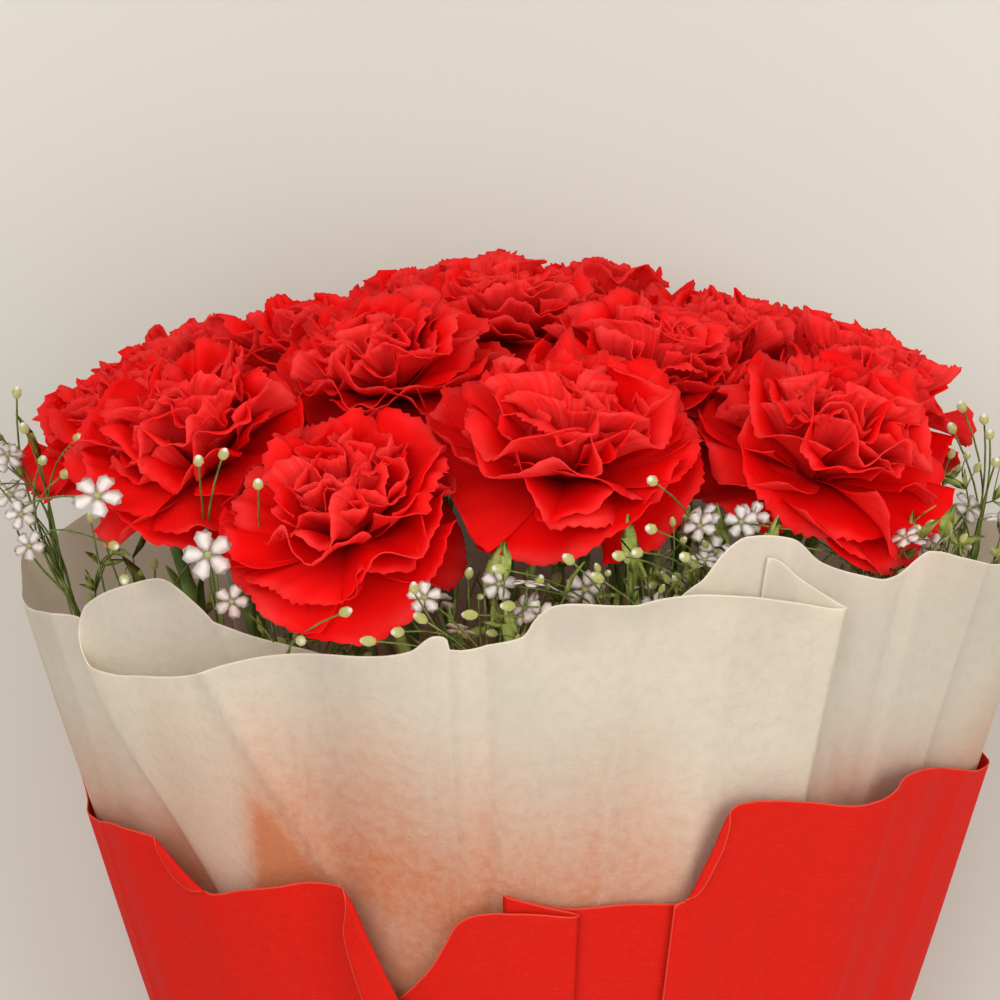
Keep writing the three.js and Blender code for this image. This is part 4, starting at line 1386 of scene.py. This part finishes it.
# Places of the ends that can be told apart in the photograph, with their kinds: 1 a flower, 2 a bud.
PLACED = {
    "left": [(-132, -112, 475, 1), (-149, -70, 472, 2), (-167, -42, 492, 2), (-163, -50, 482, 2),
             (-157, -60, 474, 2), (-164, -60, 457, 1), (-171, -36, 458, 1), (-160, -70, 449, 1),
             (-130, -100, 457, 2), (-144, -70, 484, 2)],
    "left_front": [(-97, -126, 460, 1), (-123, -122, 452, 2)],
    "front_left": [(-81, -132, 482, 2), (-90, -128, 446, 1), (-68, -150, 440, 2), (-56, -150, 448, 2)],
    "between": [(-100, -118, 486, 2), (-93, -118, 488, 2)],
    "front": [(-31, -146, 452, 1), (-45, -155, 441, 2), (-37, -155, 444, 2), (-30, -152, 446, 2)],
    "front_middle": [(3, -149, 447, 1), (-9, -138, 454, 1), (13, -152, 464, 2), (-4, -152, 451, 2),
                     (-15, -151, 448, 2), (-7, -152, 462, 2), (22, -150, 458, 2)],
    "gap": [(37, -146, 487, 2), (37, -152, 474, 2), (28, -152, 466, 2), (33, -151, 467, 2),
            (47, -150, 465, 2), (52, -122, 468, 1), (57, -122, 460, 1)],
    "right_front": [(65, -117, 468, 1), (69, -110, 468, 1), (84, -112, 459, 2), (119, -92, 456, 2)],
    "right": [(144, -40, 487, 2), (150, -45, 484, 2), (153, -50, 471, 2), (141, -40, 480, 2),
              (135, -60, 462, 2), (130, -80, 457, 1), (152, -45, 479, 2)],
    "back": [(60, 60, 504, 2)],
}
print("sprays:", len(SPRAYS), "chosen ends:", sum(len(ends) for ends in PLACED.values()))

# %% Skeletons of the sprays
SPRAY_CUT = -84
SPRAY_RING = 15.9
SPIRAL = 0.0231  # turn of the stalks round the bunch, for each mm over the tie
LEAFLET_LENGTH = LEAFLET_ROWS[-1][0]
RIM, RIM_RISE, RIM_RISE_AT, RIM_RISE_WIDE = 442, 34, 24, 13  # of the white cloth: mm, mm and degrees
OVER_TABLE = 14
HEAD_ROOM = 0.92  # of a head's half width, which small flowers keep out of


class Skeleton:
    """Points and edges of a spray's stalks, and what stands on each point."""

    def __init__(self):
        self.points, self.edges, self.thick, self.kind, self.size, self.aim = [], [], [], [], [], []

    def put(self, point, thick, kind=0, size=1.0, aim=(0, 0, 1)):
        self.points.append(point)
        self.thick.append(thick)
        self.kind.append(kind)
        self.size.append(size)
        self.aim.append(LAY_NP[:3, :3] @ np.asarray(aim))
        return len(self.points) - 1

    def string(self, points):
        """Joins points in their order; each comes with how thick the stalk is there."""
        at = [self.put(point, thick) for point, thick in points]
        self.edges += list(zip(at[:-1], at[1:]))

    def stalk(self, start, leave, end, thick, steps=6):
        """A bent stalk from start, leaving it in one direction; returns its end direction."""
        reach = np.linalg.norm(end - start)
        bend = start + leave / np.linalg.norm(leave) * reach * 0.55
        self.string([((1 - t) ** 2 * start + 2 * t * (1 - t) * bend + t * t * end, thick * (1 - 0.25 * t))
                     for t in np.linspace(0, 1, steps)])
        return (end - bend) / max(np.linalg.norm(end - bend), 1e-6)

    def tip(self, point, kind, size, aim, chosen=False):
        """A flower, bud or leaf, left out or made smaller where it would come through the wrapping."""
        if not chosen and not inside_room(point, 4.0):
            return
        way = np.asarray(aim) / np.linalg.norm(aim)
        while kind == LEAFY and size > 0.4 and not inside_room(point + way * LEAFLET_LENGTH * size, 5.0):
            size *= 0.7
        self.put(point, 0, kind, size, aim)


def inside_room(point, margin):
    """Whether a point is inside the wrapping, or above its rim, and above the table."""
    angle = np.array([math.atan2(point[0], -point[1] / DEEP)])
    skin = np.linalg.norm(funnel(angle, point[2:3], room_inset(angle) - 6, PLANT_LAYER)[0, :2])
    rim = RIM + RIM_RISE * math.exp(-(((math.degrees(angle[0]) - RIM_RISE_AT) / RIM_RISE_WIDE) ** 2))
    reach = math.hypot(point[0], point[1])
    within = reach < skin - margin or (point[2] > rim + margin and reach < skin + 8)
    return within and point @ SKY + TABLE_DROP > OVER_TABLE


def kept_clear(point, home, margin=7.0):
    """Draws a point back towards its fork until it is inside the wrapping and outside the heads."""
    for _ in range(10):
        clear = all(np.linalg.norm(point - head["middle"] - head["axis"] * 2) > HEAD_ROOM * head["half"]
                    for head in HEADS)
        if clear and inside_room(point, margin):
            break
        point = point + (home - point) * 0.2
    return point


# %% How a spray forks
STALK_THICK, FORK_THICK, BRANCH_THICK, FILLER_THICK, CHOSEN_THICK = 0.8, 0.55, 0.5, 0.4, 0.42  # half, in mm
FORKINGS = 2
TALL_END = 478  # mm over the tie; an end above it comes up behind the petals
HIGH_END = 459  # above it the outermost flowers have their full size
CHOSEN_FLOWER = 0.68  # size of the others


def any_way_round(rng):
    """A level direction, all round."""
    spin = rng.uniform(0, math.tau)
    return np.array([math.cos(spin), math.sin(spin), 0])


def main_stalk(bones, fork):
    """The stalk from its cut end through the tie, on the spiral of the bunch; returns its direction."""
    turn = SPIRAL * fork[2]
    foot = np.array([fork[0] + turn * fork[1], fork[1] - turn * fork[0], 0]) / (1 + turn * turn)
    foot *= SPRAY_RING / np.linalg.norm(foot)
    cut = foot + (fork - foot) * SPRAY_CUT / fork[2]
    bones.string([(cut + (fork - cut) * t, STALK_THICK - (STALK_THICK - FORK_THICK) * t)
                  for t in np.linspace(0, 1, 12)])
    return unit(fork - cut)


def branch(bones, rng, start, way, reach, wide, thick, forkings=FORKINGS):
    """A branch that forks on and ends in flowers and buds, with leaves at its forks."""
    sway = rng.normal(0, 1, 3) * wide
    end = kept_clear(start + way * reach + sway, start)
    out = bones.stalk(start, way + rng.normal(0, 0.35, 3), end, thick)
    if not forkings:
        kind = FLOWER if rng.uniform() < 0.16 else BUDDING
        aim = out * 0.5 + np.array([0, -0.5, 0.5]) + rng.normal(0, 0.45, 3)
        bones.tip(end, kind, rng.uniform(0.6, 0.85), out if kind == BUDDING else aim)
        return
    if forkings < FORKINGS or rng.uniform() < 0.5:
        for sign in (1, -1):
            bones.tip(end, LEAFY, rng.uniform(0.5, 1.0), out + sign * rng.normal(0, 0.8, 3))
    for _ in range(2 + (rng.uniform() < 0.45)):
        ahead = unit(out * 0.8 + way * 0.4 + rng.normal(0, 0.35, 3))
        branch(bones, rng, end, ahead, reach * rng.uniform(0.38, 0.6), wide * 0.5, thick * 0.72, forkings - 1)


def filler(bones, rng, fork, lean, spread):
    """A single leafy or flowering stalk from lower down, which fills the dark under the heads."""
    start = fork - lean * rng.uniform(20, 90)
    side = any_way_round(rng) * rng.uniform(4, 1.1 * spread)
    end = kept_clear(fork + side + lean * rng.uniform(-25, 46), fork, 9.0)
    out = bones.stalk(start, lean + rng.normal(0, 0.08, 3), end, FILLER_THICK)
    kind = rng.choice([FLOWER, BUDDING, LEAFY], p=[0.2, 0.34, 0.46])
    size = rng.uniform(1.0, 1.7) if kind == LEAFY else rng.uniform(0.6, 0.9)
    bones.tip(end, kind, size, out + rng.normal(0, 0.35, 3))


def chosen_end(bones, rng, fork, lean, place, kind, full):
    """A stalk to a flower or bud at a listed place; full says that a flower has its full size."""
    end = np.array(place, float)
    start = fork - lean * rng.uniform(-4, 16)
    behind = np.array([0, 0.6 if end[2] > TALL_END else 0.0, 0])
    out = bones.stalk(start, lean + behind + rng.normal(0, 0.25, 3), end, CHOSEN_THICK, 9)
    aim = np.array([0, -0.9, 0.5]) + rng.normal(0, 0.2, 3) if kind == FLOWER else out
    size = 1.0 if (full and end[2] > HIGH_END) or kind == BUDDING else CHOSEN_FLOWER
    bones.tip(end, kind, size, aim, chosen=True)


# %% Sprays
def spray_skeleton(name, seed):
    rng = np.random.default_rng(seed)
    fork, rise, spread, branches = SPRAYS[name]
    fork = np.array(fork, float)
    bones = Skeleton()
    lean = main_stalk(bones, fork)
    for _ in range(branches):
        start = fork - lean * rng.uniform(-2, 34)
        tilt = unit(lean + 0.6 * any_way_round(rng) * spread / 20)
        branch(bones, rng, start, tilt, rise * rng.uniform(0.4, 0.7), spread * 0.42, BRANCH_THICK)
    for _ in range(FILLERS.get(name, FEW_FILLERS)):
        filler(bones, rng, fork, lean, spread)
    for *place, kind in PLACED[name]:
        chosen_end(bones, rng, fork, lean, place, kind, name in OUTERMOST)
    return bones


def spray_piece(name, seed):
    bones = spray_skeleton(name, seed)
    shape = grown(SPRAY_TREE, f"spray_{name}", bones.points, bones.edges, {
        "Thickness": MM, "Bloom Size": 1.0, "Bud Size": 0.95, "Leaf Size": 1.0, "Bloom": BLOOM, "Bud": BUD,
        "Leaf": LEAFLET, "Stalk Finish": STALK_GREEN, "Bloom Finish": SMALL_BLOOM, "Seed": seed,
    }, {"thick": bones.thick, "kind": bones.kind, "size": bones.size, "aim": np.array(bones.aim) / MM})
    piece = in_scene(f"spray_{name}", shape)
    ends = sum(kind in (FLOWER, BUDDING) for kind in bones.kind)
    print(piece.name, "flowers and buds:", ends, "faces:", len(shape.polygons))
    return standing_for(piece, "babys_breath", f"babys_breath_{name}")


for seed, name in enumerate(SPRAYS, 201):
    spray_piece(name, seed)
for shape in (BLOOM, BUD, LEAFLET):
    bpy.data.objects.remove(shape)

# %% [markdown]
# The ribbon is satin: smooth long threads run along it and catch the light in a soft band. Fine lines
# along its length and a low roughness are enough for that. It is drawn as strips: a middle line, a width
# direction and a width. The band goes once round the waist, and the bow is one strip in five bends.

# %% Satin
SATIN_THREADS = (14, 620, 1)  # pattern scale along the ribbon and across it


def satin_finish():
    material, tree = new_material("satin")
    place = tree.uv("cloth")
    edge = tree.attribute("edge")
    threads = tree.noise(tree.stretched(place, SATIN_THREADS), 1.0, 2.0)
    cloud = tree.noise(place, 5.0, 2.0)
    colour = tree.mix(threads.ramp(0.3, 0.7), (0.40, 0.003, 0.004, 1), (0.60, 0.006, 0.006, 1))
    colour = tree.mix(edge.ramp(0.5, 1.2, 0.7, 0.0), colour, (0.72, 0.03, 0.03, 1))
    finish_surface(tree, colour, cloud.ramp(0.2, 0.8, 0.26, 0.38), threads, 0.12, 0.25)
    return material


SATIN = satin_finish()
print("material:", SATIN.name)

# %% Ribbon as strips
RIBBON_COLUMNS = 9
RIBBON_PLEATS = 2.5
SATIN_HALF_THICK = 0.15


def per_row(value, line):
    """A number for each row of a grid, or one number for all."""
    return np.broadcast_to(value, (len(line),))[:, None, None]


def strip(line, side, width, pleat=0.0, notch=0.0):
    """Grid of a ribbon along a middle line: pleat gathers it, and notch cuts its last end in."""
    u = np.linspace(-1, 1, RIBBON_COLUMNS)[None, :, None]
    way = unit(np.gradient(line, axis=0))
    side = np.broadcast_to(side, line.shape)
    side = unit(side - np.sum(side * way, 1, keepdims=True) * way)
    normal = np.cross(way, side)[:, None]
    wave = np.cos(u * math.pi * RIBBON_PLEATS) * per_row(pleat, line)
    end = np.arange(len(line))[:, None, None] / (len(line) - 1)
    grid = line[:, None] + side[:, None] * u * per_row(width, line) / 2 + normal * wave
    return grid - way[:, None] * (1 - np.abs(u)) * notch * end**3


class Ribbons:
    """Several strips as one piece of cloth, with their widths and lengths as UV and edge attribute."""

    def __init__(self):
        self.parts, self.uv, self.edge = Pieces(), [], []

    def lay(self, grid):
        self.parts.take(thickened(grid, SATIN_HALF_THICK), thick_faces(*grid.shape[:2]))
        along = summed(np.linalg.norm(np.diff(grid, axis=0), axis=2).mean(1), 0)
        across = summed(np.linalg.norm(np.diff(grid, axis=1), axis=2), 1)
        along_all = np.broadcast_to(along[:, None], across.shape)
        self.uv.append(np.tile(np.stack([along_all, across], -1).reshape(-1, 2) * UV_PER_MM, (2, 1)))
        self.edge.append(np.tile(np.minimum(across, across[:, -1:] - across).ravel(), 2))
        return float(along[-1])

    def piece(self, name, node, length, held, rests_on):
        made = self.parts.mesh(name, SATIN, ("cloth", np.concatenate(self.uv)),
                               {"edge": np.concatenate(self.edge)})
        standing_for(made, "ribbon", node)
        print(name, "length mm:", round(length), "faces:", len(made.data.polygons))
        return made


# %% Ribbon band
BAND_RADIUS = 24.95
BAND_WIDE = 23.0
BAND_OVERLAP = 0.2  # radians, where its last end lies on its first
turn = np.linspace(-BAND_OVERLAP, 2 * math.pi + BAND_OVERLAP, 140)
outwards_at_end = np.where(turn > math.pi, 0.25, -0.05) * np.abs(turn / math.pi - 1)
band_radius = BAND_RADIUS + 0.18 * np.sin(9 * turn) + outwards_at_end
band_line = np.stack([band_radius * np.sin(turn), -band_radius * np.cos(turn), 0.5 * np.sin(2 * turn)], -1)
band = Ribbons()
band_length = band.lay(strip(band_line, np.array([0.0, 0, 1]), BAND_WIDE, 0.12))
band.piece("ribbon_round_the_waist", "ribbon_band", band_length, "stretched", ["white_cloth_front"])

# %% Bow
BOW_FRONT = -25.6
LOOP_REACH, LOOP_SWELL, LOOP_WIDE = 42.0, 7.2, 21.5
TAIL_WAY, TAIL_WIDE, TAIL_NOTCH = (17.0, -40.0, -57.0), 20.0, 7.0
KNOT_WIDE = 11.0
PINCHED = 9.0  # the ribbon's width in the knot


def bow_loop(sign):
    """A loop goes out from the knot, turns round and comes back above itself."""
    t = np.linspace(0.10, 2 * math.pi - 0.10, 54)
    out = np.sin(t / 2) ** 2
    swell = LOOP_SWELL * np.sin(t) * np.sin(t / 2) ** 0.5
    line = np.stack([sign * (3.5 + LOOP_REACH * out), BOW_FRONT - 8.6 + swell, -1.5 * out + 0 * t], -1)
    width = PINCHED + (LOOP_WIDE - PINCHED) * eased(out, 0.0, 0.5)
    return strip(line, np.array([sign * 0.12, 0.0, 1.0]), width, 1.5 * (1 - eased(out, 0.05, 0.6)))


def bow_tail(sign):
    """A tail hangs down from the knot, bent twice, and ends in a notch."""
    t = np.linspace(0, 1, 40)
    start = np.array([sign * 2.5, BOW_FRONT - 3.6, 1.0])
    bend = np.sin(t * math.pi)[:, None] * np.array([sign * 3.0, -1.5, 0])
    bend = bend + np.sin(t * 3 * math.pi)[:, None] * [0, 0.9, 0]
    line = start + np.array(TAIL_WAY) * [sign, 1, 1] * t[:, None] + bend
    width = PINCHED + (TAIL_WIDE - PINCHED) * eased(t, 0.0, 0.35)
    side = np.array([1.0, 0.25 * sign, 0.35 * sign])
    return strip(line, side, width, 1.3 * (1 - eased(t, 0.0, 0.5)), TAIL_NOTCH)


def bow_knot():
    t = np.linspace(0, 2 * math.pi, 40)
    line = np.stack([0.3 * np.sin(t), BOW_FRONT - 5.0 + 4.2 * np.sign(np.cos(t)) * np.abs(np.cos(t)) ** 0.6,
                     7.5 * np.sign(np.sin(t)) * np.abs(np.sin(t)) ** 0.7], -1)
    return strip(line, np.array([1.0, 0, 0]), KNOT_WIDE + np.cos(t), 0.45)


bow = Ribbons()
bow_length = sum(bow.lay(grid) for grid in (bow_loop(1), bow_loop(-1), bow_tail(1), bow_tail(-1), bow_knot()))
bow.piece("ribbon_bow_tied", "ribbon_bow", bow_length, "folded", ["ribbon_round_the_waist"])

# %% [markdown]
# Under the ribbon a string holds the stems: two strands laid round each other, wound four times. The
# nodes below take the winding line and sweep the strands, each one offset from the line by a turning
# arm, so the twist keeps its pitch whatever the line does.

# %% String
def string_finish():
    material, tree = new_material("string")
    place = tree.object_place()
    hairs = tree.noise(place, 2600.0, 3.0)
    cloud = tree.noise(place, 240.0, 2.0)
    colour = tree.mix(hairs.ramp(0.3, 0.7), (0.34, 0.22, 0.11, 1), (0.66, 0.52, 0.33, 1))
    finish_surface(tree, colour, cloud.ramp(0.2, 0.8, 0.75, 0.95), hairs, 0.4)
    return material


# %% A Geometry Nodes tree for the string
STRING_STEP = 0.0007
STRAND_SIDES = 6


def string_nodes():
    tree, given, output = group_tree("twisted string", [
        ("Strand Radius", "NodeSocketFloat"), ("Arm", "NodeSocketFloat"), ("Twist Pitch", "NodeSocketFloat"),
        ("Strands", "NodeSocketInt"), ("Finish", "NodeSocketMaterial")])
    curve = evenly_stepped(tree, given["Geometry"], STRING_STEP)
    copies = tree.add("GeometryNodeDuplicateElements", {"domain": "SPLINE"},
                      {"Geometry": curve, "Amount": given["Strands"]})
    number = Field(copies.socket.node.outputs["Duplicate Index"])
    along = tree.add("GeometryNodeSplineParameter", out="Length")
    turn = along / given["Twist Pitch"] * math.tau + number * math.tau / given["Strands"]
    normal, tangent = tree.add("GeometryNodeInputNormal"), tree.add("GeometryNodeInputTangent")
    arm = tree.add("ShaderNodeVectorRotate", {"rotation_type": "AXIS_ANGLE"}, {
        "Vector": normal, "Axis": tangent, "Angle": turn})
    reach = tree.add("ShaderNodeVectorMath", {"operation": "SCALE"}, {0: arm, "Scale": given["Arm"]})
    strands = tree.add("GeometryNodeSetPosition", {}, {"Geometry": copies, "Offset": reach})
    tubes = swept(tree, strands, STRAND_SIDES, given["Strand Radius"], given["Finish"])
    return finished_geometry(tree, tubes, output)


# %% The string's line
STRING = string_finish()
STRING_TURNS = 4
STRING_RADIUS = 17.7
STRING_HALF_HEIGHT = 3.0
STRANDS, STRAND_RADIUS, STRAND_ARM, TWIST_PITCH = 2, 0.38, 0.33, 4.2
wind = np.linspace(0, STRING_TURNS * 2 * math.pi, 400)
rise = np.linspace(-STRING_HALF_HEIGHT, STRING_HALF_HEIGHT, 400)
string_line = np.stack([STRING_RADIUS * np.sin(wind), -STRING_RADIUS * np.cos(wind), rise], -1)
string_shape = grown(string_nodes(), "string_round_the_stems", string_line, in_a_row(len(string_line)), {
    "Strand Radius": STRAND_RADIUS * MM, "Arm": STRAND_ARM * MM, "Twist Pitch": TWIST_PITCH * MM,
    "Strands": STRANDS, "Finish": STRING})
standing_for(in_scene("string_round_the_stems", string_shape), "string", "stem_string")
string_length = STRING_TURNS * math.tau * STRING_RADIUS
print("string faces:", len(string_shape.polygons), "length mm:", round(string_length))

# %% [markdown]
# The table is a plain pale surface. The light is that of a bright room: a broad soft light from the upper
# left, a fainter one from the other side, and an even glow all round.

# %% Table and light
TABLE_COLOUR = (0.51, 0.50, 0.455, 1)
TABLE_LIGHTER = (0.55, 0.54, 0.495, 1)
TABLE_HALF = 8.0
LIT_PLACE = Vector((0, 0.15, 0.12))


def add_table():
    material, tree = new_material("table")
    cloud = tree.noise(tree.object_place(), 1.2, 2.0)
    colour = tree.mix(cloud.ramp(0.3, 0.7), TABLE_COLOUR, TABLE_LIGHTER)
    finish_surface(tree, colour, 0.85, cloud, 0.05)
    mesh = bpy.data.meshes.new("table")
    corners = [(x * TABLE_HALF, y * TABLE_HALF, 0) for x, y in ((-1, -1), (1, -1), (1, 1), (-1, 1))]
    mesh.from_pydata(corners, [], [(0, 1, 2, 3)])
    mesh.materials.append(material)
    in_scene("table", mesh)


def add_light(name, at, size, watts, colour):
    data = bpy.data.lights.new(name, "AREA")
    data.shape = "DISK"
    data.size = size
    data.energy = watts
    data.color = colour
    light = in_scene(name, data)
    way = Vector(at) - LIT_PLACE
    light.matrix_world = Matrix.Translation(at) @ way.to_track_quat("Z", "Y").to_matrix().to_4x4()


def set_world(strength):
    world = bpy.data.worlds.new("room")
    world.use_nodes = True
    background = world.node_tree.nodes["Background"]
    background.inputs["Color"].default_value = (1.0, 0.97, 0.93, 1)
    background.inputs["Strength"].default_value = strength
    bpy.context.scene.world = world


add_table()
add_light("window", at=(-0.7, 0.9, 2.3), size=1.8, watts=27, colour=(1.0, 0.97, 0.93))
add_light("room", at=(1.5, 0.2, 1.9), size=1.8, watts=22, colour=(1.0, 0.95, 0.9))
set_world(0.87)
scene = bpy.context.scene
scene.view_settings.view_transform = "Standard"
scene.view_settings.look = "None"
